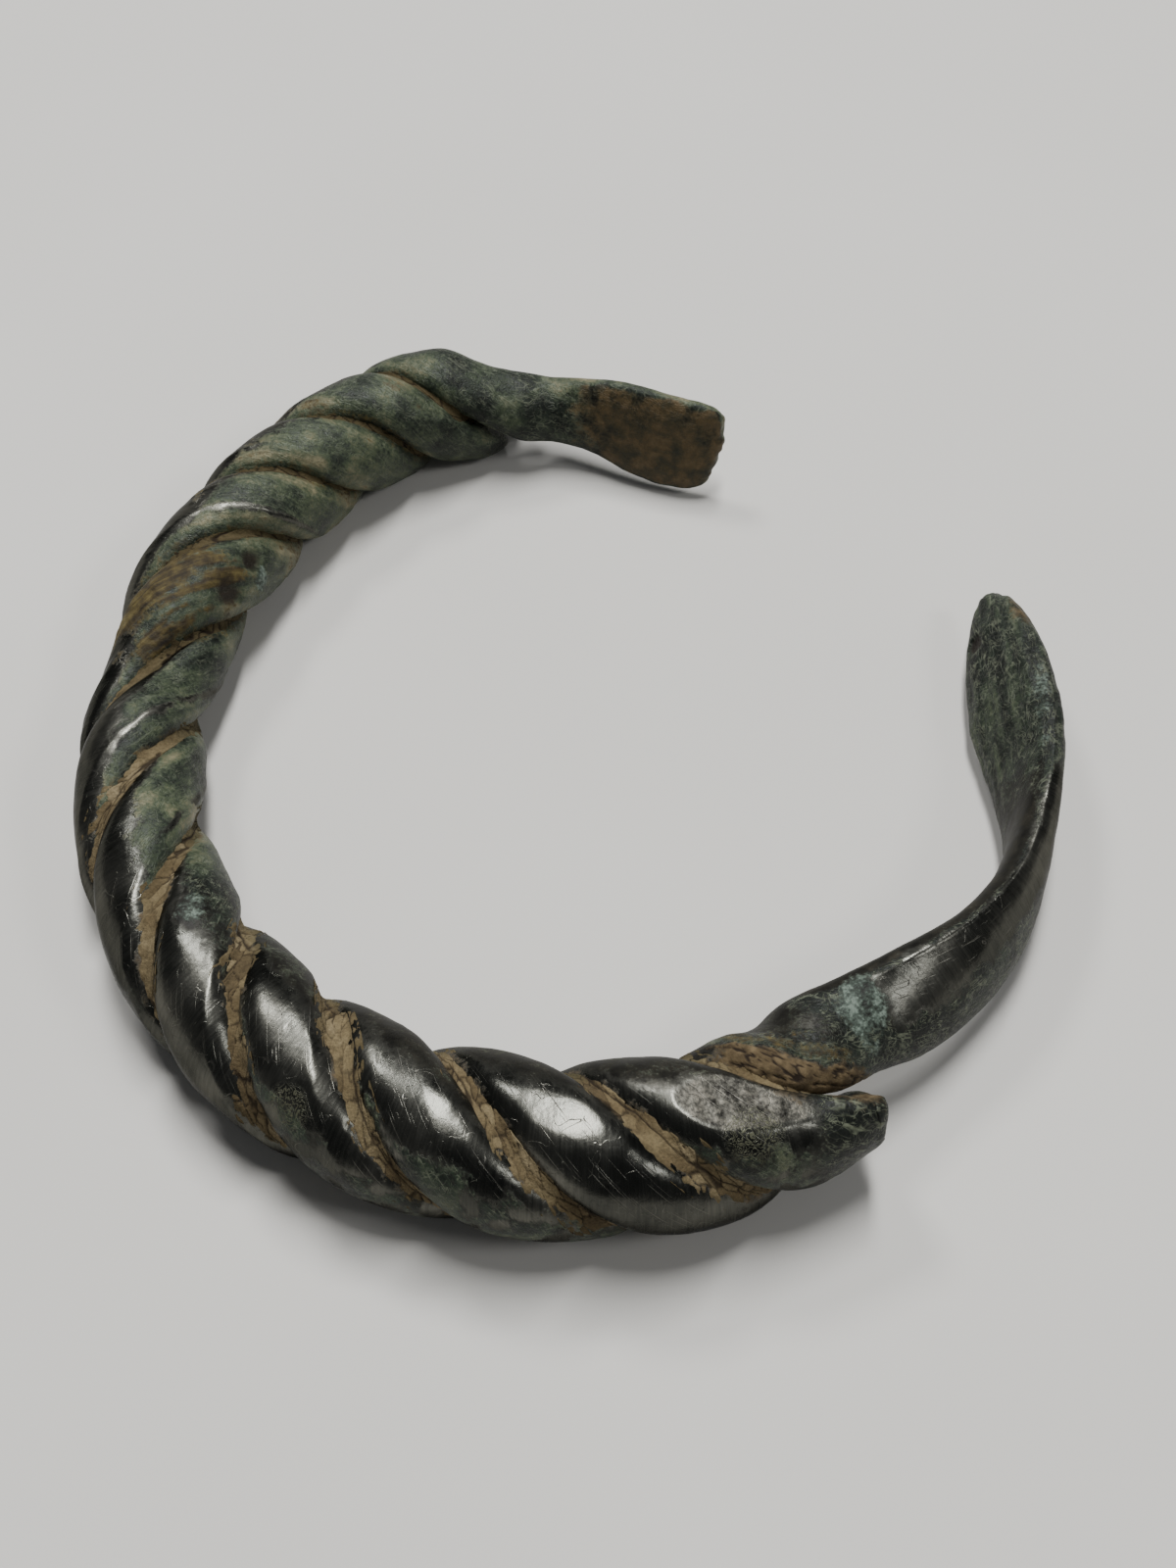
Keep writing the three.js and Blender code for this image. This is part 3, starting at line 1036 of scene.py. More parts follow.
@dataclass(frozen=True)
class TwistWear:
    """Finishes along the twist, as fields over a rod's surface.

    Polish starts where the surface leans outwards by more than a limit that follows the ring,
    and the limit is torn by noise; what is left is brown satin or green patina. A pair of
    numbers holds the values at which a share leaves 0 and reaches 1, a pair called worn the
    level and the depth by which noise breaks a share up.
    """

    cloud: Grain = Grain(4.2)
    mottle: Grain = Grain(2.4, 70)
    fine: Grain = Grain(1.3, 40)
    streak: Grain = Grain(0.9, 7, lay=ALONG_ROD)
    flaky: Grain = Grain(2.4, 3, lay=ALONG_FLAKES)
    # Polish by the lean of the surface, and in a strip along the far lobes' ridge, in degrees.
    polish_cloud: float = 0.2
    polish_fine: float = 0.12
    polish_leans: Pair = (-0.15, 0.5)
    strip_wander: float = 8.0
    strip_width: float = 11.0
    strip_runs: Stretch = Stretch(128, 140, 196, 205)
    strip_worn: Pair = (0.8, 0.7)
    # How far noise changes the patina's paleness and shade.
    pale_cloud: float = 0.2
    shade_mottle: float = 0.42
    shade_streak: float = 0.14
    shade_cloud: float = 0.12
    # Lower faces of the front lobes: dark green mottling over the black.
    foot_out: Pair = (0.3, 0.65)
    foot_up: Pair = (0.92, 0.6)
    foot_runs: Pair = (205, 225)
    foot_cloud: float = 0.5
    foot_mottling: Pair = (-0.35, 0.25)
    foot_dulls: float = 0.7
    foot_green: float = 0.8
    # Along the grooves: pale rims and brown stains on the far lobes, earth on the others.
    twist_starts: Pair = (108, 114)
    rim_side: float = 66.0
    rim_width: float = 12.0
    rim_shade: float = 0.2
    rim_ends: Pair = (205, 185)
    groove_sides: Pair = (66, 88)
    stain_in_groove: float = 0.42
    stain_in_mottle: float = 0.5
    stain_streak: float = 0.7
    stain_mottling: Pair = (0.25, 0.7)
    stain_ends: Pair = (176, 160)
    dust_share: float = 0.62
    dust_runs: Stretch = Stretch(165, 180, 290, 300)
    dust_worn: Pair = (0.7, 0.6)
    # The broken rod's tip: dark patina, and a strip of dust along its top edge.
    tip_cloud: float = 1.5
    tip_starts: Pair = (291, 296)
    tip_dulls: float = 0.9
    tip_green: float = 0.95
    tip_shade: float = 0.3
    tip_strip: Patch = Patch(299, 5, -132, 30)
    tip_dust: float = 0.95
    # Ochre crust on top of one lobe of the hidden rod.
    ochre_angle: float = 160.0
    ochre_reach: Pair = (14, 6)
    ochre_up: Pair = (0.2, 0.7)
    ochre_worn: Pair = (0.62, 0.9)
    # Turquoise spots: how far noise tears their edge, in mm, and where it lies as shares of their size.
    spot_torn: float = 0.6
    spot_edge: Pair = (1.25, 0.6)
    # Distance from a ring, in its own sizes, where there is none.
    no_ring: float = 9.0

    def fields(self, rod: "TwistedRod", s: Surface) -> dict[str, np.ndarray]:
        """Works out every field on a rod.

        Args:
            rod: the rod.
            s: its surface.

        Returns:
            The fields by name.
        """
        grains = (self.cloud, self.mottle, self.fine, self.streak)
        cloud, mottle, fine, streak = (grain.on(s, rod.noise) for grain in grains)
        rows = s.angle[:, :1]
        along = rows[:, 0]
        lean = s.outwards + self.polish_cloud * cloud + self.polish_fine * fine
        polish = ramp(lean - follow(POLISH_STARTS, along), *self.polish_leans)
        if rod.strand is not Strand.HIDDEN:
            off_ridge = s.side - follow(LOBE_RIDGE, along) + self.strip_wander * fine
            strip = bell(off_ridge, 0, self.strip_width) * self.strip_runs.share(rows)
            polish = np.maximum(polish, strip * broken_up(fine, *self.strip_worn))
        green = (1 - polish) * follow(GREEN_SHARE, along)
        pale = follow(PALE_SHARE, along) + self.pale_cloud * cloud
        shade = follow(SHADE_LEVEL, along) + self.shade_mottle * mottle
        shade = shade + self.shade_streak * streak + self.shade_cloud * cloud

        low = ramp(s.outwards, *self.foot_out) * ramp(s.upwards, *self.foot_up)
        mottling = ramp(fine + self.foot_cloud * cloud, *self.foot_mottling)
        foot = rod.mottled_foot * low * ramp(rows, *self.foot_runs) * mottling
        polish = polish * (1 - self.foot_dulls * foot)
        green = np.maximum(green, self.foot_green * foot)

        edge = np.abs(s.side)
        twisted = ramp(rows, *self.twist_starts)
        rim = bell(edge, self.rim_side, self.rim_width) * twisted * ramp(rows, *self.rim_ends)
        groove = ramp(edge, *self.groove_sides) * twisted
        mottling = ramp(mottle + self.stain_streak * streak, *self.stain_mottling) * twisted
        stains = np.maximum(self.stain_in_groove * groove, self.stain_in_mottle * mottling)
        dusty = self.dust_runs.share(rows) * broken_up(fine, *self.dust_worn)
        blank = np.zeros_like(polish)
        fields = {
            "polish": polish,
            "green": green,
            "pale": pale,
            "shade": shade + self.rim_shade * rim,
            "crust": stains * ramp(rows, *self.stain_ends),
            "dust": self.dust_share * groove * dusty,
            "ring": blank + self.no_ring,
        }
        fields |= {name: blank for name in ("copper", "turquoise", "cake")}
        if rod.strand is Strand.TERMINAL:
            TerminalWear().change(fields, rod, s, (cloud, fine, streak))
        if rod.strand is Strand.BROKEN:
            self.darken_tip(fields, s, cloud)
        if rod.strand is Strand.HIDDEN:
            patch = ramp(np.abs(s.angle - self.ochre_angle), *self.ochre_reach)
            patch = patch * ramp(s.upwards, *self.ochre_up)
            ochre = patch * broken_up(self.flaky.on(s, rod.noise), *self.ochre_worn)
            fields["crust"] = np.maximum(fields["crust"], ochre)
        self.add_marks(fields, rod, s, fine)
        return fields | {name: np.clip(fields[name], 0, 1) for name in ("pale", "shade")}

    def darken_tip(self, fields: dict[str, np.ndarray], s: Surface, cloud: np.ndarray) -> None:
        """Turns the polish of the broken tip into dark patina, with a dusty strip.

        Args:
            fields: the fields of the twist, changed in place.
            s: the rod's surface.
            cloud: broad noise over the surface.
        """
        tip = ramp(s.angle[:, :1] + self.tip_cloud * cloud, *self.tip_starts)
        fields["polish"] = fields["polish"] * (1 - self.tip_dulls * tip)
        fields["green"] = np.maximum(fields["green"], self.tip_green * tip)
        fields["shade"] = fields["shade"] - self.tip_shade * tip
        fields["dust"] = np.maximum(fields["dust"], self.tip_dust * self.tip_strip.share(s))

    def add_marks(
        self, fields: dict[str, np.ndarray], rod: "TwistedRod", s: Surface, fine: np.ndarray
    ) -> None:
        """Adds the turquoise spots and the rings of fine lines.

        Args:
            fields: the fields of the twist, changed in place.
            rod: the rod with its marks.
            s: its surface.
            fine: fine noise over the surface.
        """
        for mark in rod.marks:
            away = s.away(mark)
            if mark.kind is MarkKind.TURQUOISE:
                edge = (mark.size * part for part in self.spot_edge)
                share = ramp(away + self.spot_torn * fine, *edge)
                fields["turquoise"] = np.maximum(fields["turquoise"], mark.depth * share)
                fields["polish"] = fields["polish"] * (1 - share)
            if mark.kind is MarkKind.RING:
                fields["ring"] = np.minimum(fields["ring"], away / mark.size)


@dataclass(frozen=True)
class TerminalWear:
    """Finishes on the two terminals.

    The long one is glossy along its ridge and fibrous below, with earth caked on its root, a grainy
    edge on the blade and a band above the ridge painted dark as shade; the short one has a
    copper-brown inner face with a pale rim, partly pale patina and partly a painted highlight along
    its top edge. A pair of numbers holds the values at which a share leaves 0 and reaches 1.
    """

    # Long terminal: where its finish takes over, and its gloss between two distances off the ridge.
    tongue_starts: Pair = (297, 305)
    gloss_fine: float = 14.0
    gloss_cloud: float = 10.0
    gloss_far: Pair = (84, 48)
    gloss_edge_fine: float = 8.0
    gloss_near: Pair = (-14, 4)
    gloss_ends: Pair = (362, 348)
    gloss_start_cloud: float = 2.0
    gloss_starts: Pair = (305, 312)
    gloss_uneven: float = 0.12
    outer_gloss: float = 0.5
    outer_sides: Pair = (78, 45)
    outer_starts: Pair = (326, 342)
    # Patina where there is no gloss: thin on the inner face, bare in a band on the top face beside the
    # ridge, where what is left is painted darker as shade.
    cover_level: float = 0.95
    cover_cloud: float = 0.2
    inner_sides: Pair = (95, 120)
    inner_starts: Pair = (338, 344)
    inner_ends: Pair = (360, 352)
    inner_thin: float = 0.55
    band_sides: Stretch = Stretch(-2, -16, -100, -120)
    band_ends: Pair = (352, 344)
    band_bare: float = 0.9
    # Painted shade: how much darker the band's tone is, as its top face turns away from the light.
    band_painted_shade: float = 0.2
    blade_cover: float = 0.4
    blade_cover_starts: Pair = (352, 360)
    # Root: earth caked on one side of it, crusty patina round that.
    root_start_cloud: float = 2.0
    root_starts: Pair = (285, 290)
    root_end_cloud: float = 3.0
    root_ends: Pair = (305, 299)
    cake_fine: float = 14.0
    cake_from: Pair = (34, 62)
    cake_to: Pair = (128, 108)
    crust_fine: float = 16.0
    crust_from: Pair = (-12, 14)
    crust_green: float = 0.9
    crust_dulls: float = 0.85
    crust_pale: float = 0.12
    crust_share: float = 0.5
    # Blade of the long terminal: streaks along it, grit along one edge, a reddish tip.
    blade_starts: Pair = (346, 358)
    fibres: Grain = Grain(0.5, 19, lay=ALONG_FIBRES)
    blade_shade: float = 0.24
    blade_fibres: float = 0.42
    blade_cloud: float = 0.1
    blade_streak: float = 0.1
    grit: Patch = Patch(364, 9, -125, 28)
    grit_turquoise: float = 0.55
    grit_shade: float = 0.25
    red_tip: Patch = Patch(380, 4, -95, 40)
    red_share: float = 0.8
    # Blade of the short terminal: brown face, a pale rim above it that is partly a painted highlight on the
    # top edge, and a pale patch at the neck.
    short_cloud: float = 3.0
    short_fine: float = 2.0
    short_starts: Pair = (97, 86)
    copper_fine: float = 12.0
    copper_sides: Pair = (78, 54)
    copper_worn: Pair = (0.78, 0.5)
    copper_bares: float = 0.8
    short_dulls: Pair = (98, 90)
    highlight_rim_starts: Pair = (96, 90)
    rim_side: float = 90.0
    rim_width: float = 16.0
    neck_patch: Patch = Patch(93.5, 2.2, 48, 26)
    # Paleness added to the neck patch, and to the rim as pale patina and a painted highlight.
    pale_and_highlight_gain: float = 0.5
    # Painted highlight: how much lighter the rim's tone is.
    rim_shade: float = 0.24
    patch_shade: float = 0.3

    def change(
        self,
        fields: dict[str, np.ndarray],
        rod: "TwistedRod",
        s: Surface,
        grains: tuple[np.ndarray, np.ndarray, np.ndarray],
    ) -> None:
        """Changes the fields of the twist on both terminals.

        Args:
            fields: the fields, changed in place.
            rod: the terminal rod.
            s: its surface.
            grains: broad noise, fine noise and noise drawn out along the rod.
        """
        cloud, fine, streak = grains
        shaded_band = self.gloss_long(fields, s, cloud, fine)
        self.crust_root(fields, s, cloud, fine)
        # Painted shade on the band above the ridge.
        fields["shade"] = fields["shade"] - self.band_painted_shade * shaded_band

        blade = ramp(s.angle, *self.blade_starts)
        drawn = self.blade_shade + self.blade_fibres * self.fibres.on(s, rod.noise)
        drawn = drawn + self.blade_cloud * cloud + self.blade_streak * streak
        fields["shade"] = fields["shade"] + (drawn - fields["shade"]) * blade
        grit = self.grit.share(s)
        fields["turquoise"] = np.maximum(fields["turquoise"], self.grit_turquoise * grit)
        fields["shade"] = fields["shade"] - self.grit_shade * grit
        self.brown_short(fields, s, cloud, fine)

    def gloss_long(
        self, fields: dict[str, np.ndarray], s: Surface, cloud: np.ndarray, fine: np.ndarray
    ) -> np.ndarray:
        """Lays gloss and patina over the long terminal.

        Args:
            fields: the fields, changed in place.
            s: the rod's surface.
            cloud: broad noise over it.
            fine: fine noise over it.

        Returns:
            Share of the bare band beside the ridge, whose patina tone is painted darker as shade.
        """
        rows = s.angle
        tongue = ramp(rows, *self.tongue_starts)
        off_ridge = s.side - ridge_side(rows)
        gloss = ramp(off_ridge + self.gloss_fine * fine + self.gloss_cloud * cloud, *self.gloss_far)
        gloss = gloss * ramp(off_ridge + self.gloss_edge_fine * fine, *self.gloss_near)
        gloss = gloss * ramp(rows, *self.gloss_ends)
        gloss = gloss * ramp(rows + self.gloss_start_cloud * cloud, *self.gloss_starts)
        edge = np.abs(s.side)
        outer = self.outer_gloss * ramp(edge, *self.outer_sides) * ramp(rows, *self.outer_starts)
        gloss = np.clip(np.maximum(gloss, outer) + self.gloss_uneven * cloud, 0, 1)
        inner = ramp(edge, *self.inner_sides) * ramp(rows, *self.inner_starts)
        inner = inner * ramp(rows, *self.inner_ends)
        cover = np.clip(self.cover_level - gloss + self.cover_cloud * cloud, 0, 1)
        cover = cover * (1 - self.inner_thin * inner)
        # Bare band above the ridge, painted dark as shade.
        shaded_band = self.band_sides.share(off_ridge) * tongue * ramp(rows, *self.band_ends)
        cover = cover * (1 - self.band_bare * shaded_band)
        cover = cover + self.blade_cover * ramp(rows, *self.blade_cover_starts)
        for name, share in (("polish", gloss), ("green", cover)):
            fields[name] = fields[name] + (share - fields[name]) * tongue
        return shaded_band

    def crust_root(
        self, fields: dict[str, np.ndarray], s: Surface, cloud: np.ndarray, fine: np.ndarray
    ) -> None:
        """Cakes earth on the long terminal's root, with crusty patina beside it.

        Args:
            fields: the fields, changed in place.
            s: the rod's surface.
            cloud: broad noise over it.
            fine: fine noise over it.
        """
        root = ramp(s.angle + self.root_start_cloud * cloud, *self.root_starts)
        root = root * ramp(s.angle + self.root_end_cloud * cloud, *self.root_ends)
        cake = root * ramp(s.side + self.cake_fine * fine, *self.cake_from) * ramp(s.side, *self.cake_to)
        crusted = root * ramp(s.side + self.crust_fine * fine, *self.crust_from) * (1 - cake)
        fields["cake"] = cake
        fields["green"] = np.maximum(fields["green"], self.crust_green * crusted)
        fields["polish"] = fields["polish"] * (1 - self.crust_dulls * crusted)
        fields["pale"] = fields["pale"] + self.crust_pale * crusted
        fields["crust"] = np.maximum(fields["crust"], self.crust_share * crusted)

    def brown_short(
        self, fields: dict[str, np.ndarray], s: Surface, cloud: np.ndarray, fine: np.ndarray
    ) -> None:
        """Browns the short terminal's face and the long one's tip, and pales the neck and the rim,
        the rim's paleness being partly a painted highlight along the top edge.

        Args:
            fields: the fields, changed in place.
            s: the rod's surface.
            cloud: broad noise over it.
            fine: fine noise over it.
        """
        rows = s.angle
        short = ramp(rows + self.short_cloud * cloud + self.short_fine * fine, *self.short_starts)
        copper = short * ramp(np.abs(s.side) + self.copper_fine * fine, *self.copper_sides)
        copper = copper * broken_up(cloud, *self.copper_worn)
        fields["copper"] = np.maximum(copper, self.red_share * self.red_tip.share(s))
        fields["green"] = fields["green"] * (1 - self.copper_bares * copper)
        fields["polish"] = fields["polish"] * (1 - ramp(rows, *self.short_dulls))
        # Painted highlight: the rim along the top edge is made paler and lighter in tone.
        rim = ramp(rows, *self.highlight_rim_starts) * bell(s.side, self.rim_side, self.rim_width)
        patch = self.neck_patch.share(s)
        fields["pale"] = fields["pale"] + self.pale_and_highlight_gain * (rim + patch)
        fields["shade"] = fields["shade"] + self.rim_shade * rim + self.patch_shade * patch


def ridge_side(angles: np.ndarray) -> np.ndarray:
    """Side at which the long terminal's ridge runs: a degree back for each of the ring's."""
    return RIDGE_SIDE - (np.clip(angles, *RIDGE_TURNS) - RIDGE_ANGLE)


@dataclass(frozen=True)
class RodRelief:
    """Relief of a rod over its smooth surface, in mm.

    Hammering gives broad soft dents. Patina and crust stand up as grainy lumps, fibres run
    along the rod, pits are small bowls strewn one to a cell in some of the cells, and cracks
    in caked earth lie where two strewn points are equally near. A pair of numbers holds the
    values at which a share leaves 0 and reaches 1.
    """

    # Dents, bumps and ripples of the metal.
    dents: tuple[tuple[float, Grain], ...] = (
        (0.085, Grain(5.2, 0, 2)), (0.035, Grain(1.9, 9, 2)), (0.008, Grain(0.7, 31, 2)),
    )
    # Patina: its thickness, grain and streaks, which are stronger on the long blade.
    patina: float = 0.02
    grain: Grain = Grain(0.95, 0, 2)
    grain_height: float = 0.03
    streaks: Grain = Grain(0.85, 5, 2, ALONG_ROD)
    streak_height: float = 0.018
    blade_streak_height: float = 0.06
    blade_starts: Pair = (346, 358)
    # Crust: its thickness, lumps and splits.
    crust: float = 0.08
    lumps: Grain = Grain(1.1, 3)
    lump_height: float = 0.1
    flakes: Grain = Grain(2.0, 77, lay=ALONG_FLAKES)
    split_depth: float = 0.06
    split_edge: Pair = (0.14, 0.0)
    # Ridge worn along the lobes, higher on the far ones; widths in degrees round the section.
    ridge_wander: float = 7.0
    ridge_round: float = 5.0
    ridge_fall: float = 13.0
    ridge_runs: Stretch = Stretch(112, 125, 284, 296)
    ridge_height: float = 0.06
    far_ridge_height: float = 0.14
    far_ridge_ends: Pair = (250, 242)
    ridge_unpolished: float = 0.4
    # Crease along the long terminal.
    crease_runs: Stretch = Stretch(306, 318, 356, 366)
    crease_height: float = 0.34
    crease_fall: float = 13.0
    crease_base: float = 0.05
    # Turquoise grit, in cells with gaps between them.
    grit_cell: float = 0.62
    grit_height: float = 0.1
    grit_gap: Pair = (0.0, 0.35)
    # Pits: their cells, the share of cells without one, their radii and their depth.
    pit_cell: float = 1.9
    pit_shift: float = 21.0
    pitless: float = 0.55
    pit_radius: float = 0.1
    pit_radius_gain: float = 0.22
    pit_edge: Pair = (1.0, 0.35)
    pit_depth: float = 0.08
    # How dark the pits are painted: their corrosion, and painted shade inside them.
    pit_hollow: float = 0.6
    pit_in_patina: float = 0.5
    # Caked earth and its cracks.
    cake: float = 0.1
    crack_cell: float = 1.15
    crack_bend: float = 0.3
    crack_edge: Pair = (0.12, 0.03)
    crack_depth: float = 0.14
    # Metal along the top edge of the broken tip.
    tip_fills: tuple[tuple[float, Patch], ...] = (
        (0.5, Patch(296, 3.5, -118, 26)), (0.9, Patch(300, 3, -106, 22)),
    )
    # Single pits: how far lumps bend their edge, their flat floor, and how dark they are painted, for their
    # corrosion and as shade inside them.
    bowl_bend: float = 0.4
    bowl_floor: float = 0.2
    bowl_hollow: float = 0.85

    def height(
        self, rod: "TwistedRod", s: Surface, wear: Mapping[str, np.ndarray]
    ) -> tuple[np.ndarray, np.ndarray]:
        """Adds up the relief on a rod.

        Args:
            rod: the rod with its marks.
            s: its smooth surface.
            wear: the fields of the finishes.

        Returns:
            Height in mm, and hollowness from 0 to 1, which the bronze paints dark: corrosion and
                shade in pits, shade in the caked earth's cracks.
        """
        noise = rod.noise
        height = sum(size * grain.on(s, noise) for size, grain in self.dents)
        rough = np.maximum(wear["green"], wear["copper"])
        height = height + rough * (self.grain_height * self.grain.on(s, noise) + self.patina)
        blade = ramp(s.angle, *self.blade_starts) if rod.strand is Strand.TERMINAL else 0.0
        streak_height = self.streak_height + self.blade_streak_height * blade
        height = height + rough * self.streaks.on(s, noise) * streak_height
        lumps = self.lumps.on(s, noise)
        splits = ramp(np.abs(self.flakes.on(s, noise)), *self.split_edge)
        crust = self.crust + self.lump_height * lumps - self.split_depth * splits
        height = height + wear["crust"] * crust + self.ridge(s, wear, lumps)
        nearest, second, _ = noise.cells(s.points, self.grit_cell)
        height = height + self.grit_height * wear["turquoise"] * ramp(second - nearest, *self.grit_gap)
        if rod.strand is Strand.TERMINAL:
            fall = np.exp(-np.abs(s.side - ridge_side(s.angle)) / self.crease_fall)
            crease = self.crease_height * fall - self.crease_base
            height = height + self.crease_runs.share(s.angle) * crease

        nearest, _, number = noise.cells(s.points + self.pit_shift, self.pit_cell)
        radius = self.pit_radius + self.pit_radius_gain * number
        bowl = ramp(nearest / radius, *self.pit_edge) * (number > self.pitless)
        bowl = bowl * np.clip(wear["polish"] + self.pit_in_patina * wear["green"], 0, 1) * (1 - wear["cake"])
        bent = s.lay * np.array(ALONG_CRACKS) + self.crack_bend * lumps[..., None]
        nearest, second, _ = noise.cells(bent, self.crack_cell)
        crack = ramp(second - nearest, *self.crack_edge) * wear["cake"]
        height = height - self.pit_depth * bowl + self.cake * wear["cake"] - self.crack_depth * crack
        # Painted shade: pits and the caked earth's cracks are marked to be painted dark, the pits also for
        # their corrosion.
        hollow = np.maximum(self.pit_hollow * bowl, crack)
        if rod.strand is Strand.BROKEN:
            height = height + sum(size * patch.share(s) for size, patch in self.tip_fills)
        for mark in rod.marks:
            away = s.away(mark)
            if mark.kind is MarkKind.PIT:
                bowl = ramp(away + self.bowl_bend * lumps, mark.size, self.bowl_floor * mark.size)
                height = height - mark.depth * bowl
                hollow = np.maximum(hollow, self.bowl_hollow * bowl)
            if mark.kind is MarkKind.KNOB:
                height = height + mark.depth * bell(away, 0, mark.size)
        return height, hollow

    def ridge(self, s: Surface, wear: Mapping[str, np.ndarray], lumps: np.ndarray) -> np.ndarray:
        """Soft ridge along the lobes, which falls off exponentially to both sides.

        Args:
            s: the rod's surface.
            wear: the fields of the finishes.
            lumps: noise by which the ridge wanders.

        Returns:
            Height in mm.
        """
        off_ridge = s.side - follow(LOBE_RIDGE, s.angle[:, 0]) + self.ridge_wander * lumps
        ridge = np.exp(-np.hypot(off_ridge, self.ridge_round) / self.ridge_fall)
        ridge = ridge * self.ridge_runs.share(s.angle)
        height = self.ridge_height + self.far_ridge_height * ramp(s.angle, *self.far_ridge_ends)
        return height * ridge * (self.ridge_unpolished + (1 - self.ridge_unpolished) * wear["polish"])


@dataclass
class TwistedRod:
    """One bronze rod: its course through the twist, its ends, and the wear on its surface."""

    name: str
    strand: Strand
    # Ring angles of its ends, and degrees over which each end rounds off.
    first: float
    last: float
    first_round: float
    last_round: float
    # Power with which thickness follows width at the ends, and length of a row of the mesh.
    thinning: float
    step: float
    # Share of dark mottling under the front lobes, and how ragged the ends are, in mm.
    mottled_foot: float
    end_wear: float = 0.0
    marks: Sequence[Mark] = ()
    columns: int = 100
    cap_rows: int = 36
    noise: Noise = field(default_factory=lambda: Noise(11))
    # Degrees from each end over which the relief fades out.
    relief_fade: float = 0.6
    # Facets: how far outside their size they end, how uneven they are, and the wear that bares them.
    facet_edge: float = 1.25
    facet_grain: Grain = Grain(1.4, 90)
    facet_uneven: float = 0.14
    facet_bares: Pair = (0.0, 0.12)
    # Ragged ends: their waves, and the degrees over which they fade.
    ragged_grain: Grain = Grain(1.2, 61, lay=ALONG_ENDS)
    ragged_first: float = 5.0
    ragged_last: float = 8.0
    # The break: its roughness in mm, where it counts as broken, and its patina and dust.
    break_rough: tuple[tuple[float, Grain], ...] = ((0.22, Grain(1.5)), (0.09, Grain(0.5, 50, 2)))
    break_edge: Pair = (0.0, 0.25)
    break_bares: float = 0.6
    break_dust: float = 0.3

    def sections(self, angles: np.ndarray) -> Sections:
        """Sections at ring angles.

        In the twist the section's middle lies at a fixed share of the twist's radius, its outer
        half reaches that radius and its inner half fills the wedge between the other two rods.
        The terminal rod eases from there into the rows of its two terminals.

        Args:
            angles: ring angles.

        Returns:
            The sections there.
        """
        ring, reach = follow(TWIST_COURSE, angles).T
        turn = follow(TWIST, angles)[:, 0] + ROD_SPACING * self.strand.value
        centre = ROD_CENTRE * reach
        half_width = ROD_HALF_WIDTH * reach
        wedge = math.radians(ROD_SPACING / 2)
        room = centre * math.sin(wedge) - ROD_CLEARANCE
        inner = np.sqrt(room**2 - (half_width * math.cos(wedge)) ** 2) / math.sin(wedge)
        radius = ring - centre * np.cos(np.radians(turn))
        height = reach + centre * np.sin(np.radians(turn))
        square = np.full(len(angles), float(ROD_SQUARENESS))
        found = Sections(radius, height, half_width, reach - centre, inner, turn, square)
        if self.strand is Strand.BROKEN:
            sprung = ramp(angles, *BROKEN_END_SPRINGS)
            found.height = found.height + BROKEN_END_LIFT * sprung
            found.radius = found.radius + BROKEN_END_OUT * sprung
            found.outer = found.outer * (1 + (BROKEN_END_DEPTH - 1) * sprung)
        if self.strand is Strand.TERMINAL:
            found.ease(follow(LONG_TERMINAL, angles), ramp(angles, *LONG_TERMINAL_LEAVES))
            short = follow(SHORT_TERMINAL, angles) - [0, 0, 0, 0, WHOLE_TURNS]
            found.ease(short, ramp(angles, *SHORT_TERMINAL_LEAVES))
            blade = np.maximum(ramp(angles, *LONG_BLADE_FORMS), ramp(angles, *SHORT_BLADE_FORMS))
            found.squareness = ROD_SQUARENESS + (BLADE_SQUARENESS - ROD_SQUARENESS) * blade
        return found

    def at(self, angles: np.ndarray, sides: np.ndarray) -> tuple[np.ndarray, np.ndarray]:
        """Places on the rod's smooth surface, one for each ring angle.

        Args:
            angles: ring angles.
            sides: the side at each angle.

        Returns:
            Distances from the ring centre and heights, in mm.
        """
        found = self.sections(angles)
        out, across = found.local(sides[:, None], np.ones(len(angles)), self.thinning)
        radius, height = found.plane(out, across)
        return radius[:, 0], height[:, 0]

    def stations(self) -> tuple[np.ndarray, np.ndarray]:
        """Rows along the rod: even steps, with ends that round off as quarter circles.

        Returns:
            Ring angles, and the share of the full width at each.
        """
        t = np.linspace(0, math.pi / 2, self.cap_rows + 1)[1:-1]
        body_first, body_last = self.first + self.first_round, self.last - self.last_round
        length = math.radians(body_last - body_first) * TWIST_COURSE[:, 1].mean()
        body = np.linspace(body_first, body_last, round(length / self.step))
        start = self.first + self.first_round * (1 - np.cos(t))
        end = self.last - self.last_round * (1 - np.cos(t[::-1]))
        widths = [np.sin(t), np.ones(len(body)), np.sin(t[::-1])]
        return np.concatenate([start, body, end]), np.concatenate(widths)

    def surface(self) -> tuple[Surface, np.ndarray]:
        """Smooth surface of the rod, without relief.

        Returns:
            The surface, and the two end points.
        """
        angles, width = self.stations()
        sides = np.linspace(-180, 180, self.columns, endpoint=False)[None]
        found = self.sections(angles)
        out, across = found.local(sides, width, self.thinning)
        points = on_ring(angles, *found.plane(out, across))
        middle = on_ring(angles, *found.plane(0 * out[:, :1], 0 * out[:, :1]))[:, 0]
        along = np.concatenate([[0], np.cumsum(np.linalg.norm(np.diff(middle, axis=0), axis=1))])
        lay = np.stack([np.broadcast_to(along[:, None], out.shape), out, across], axis=-1)
        side = np.broadcast_to(sides, out.shape)
        angle = np.broadcast_to(angles[:, None], out.shape)
        return Surface(points, grid_normals(points), angle, side, lay), middle[[0, -1]]

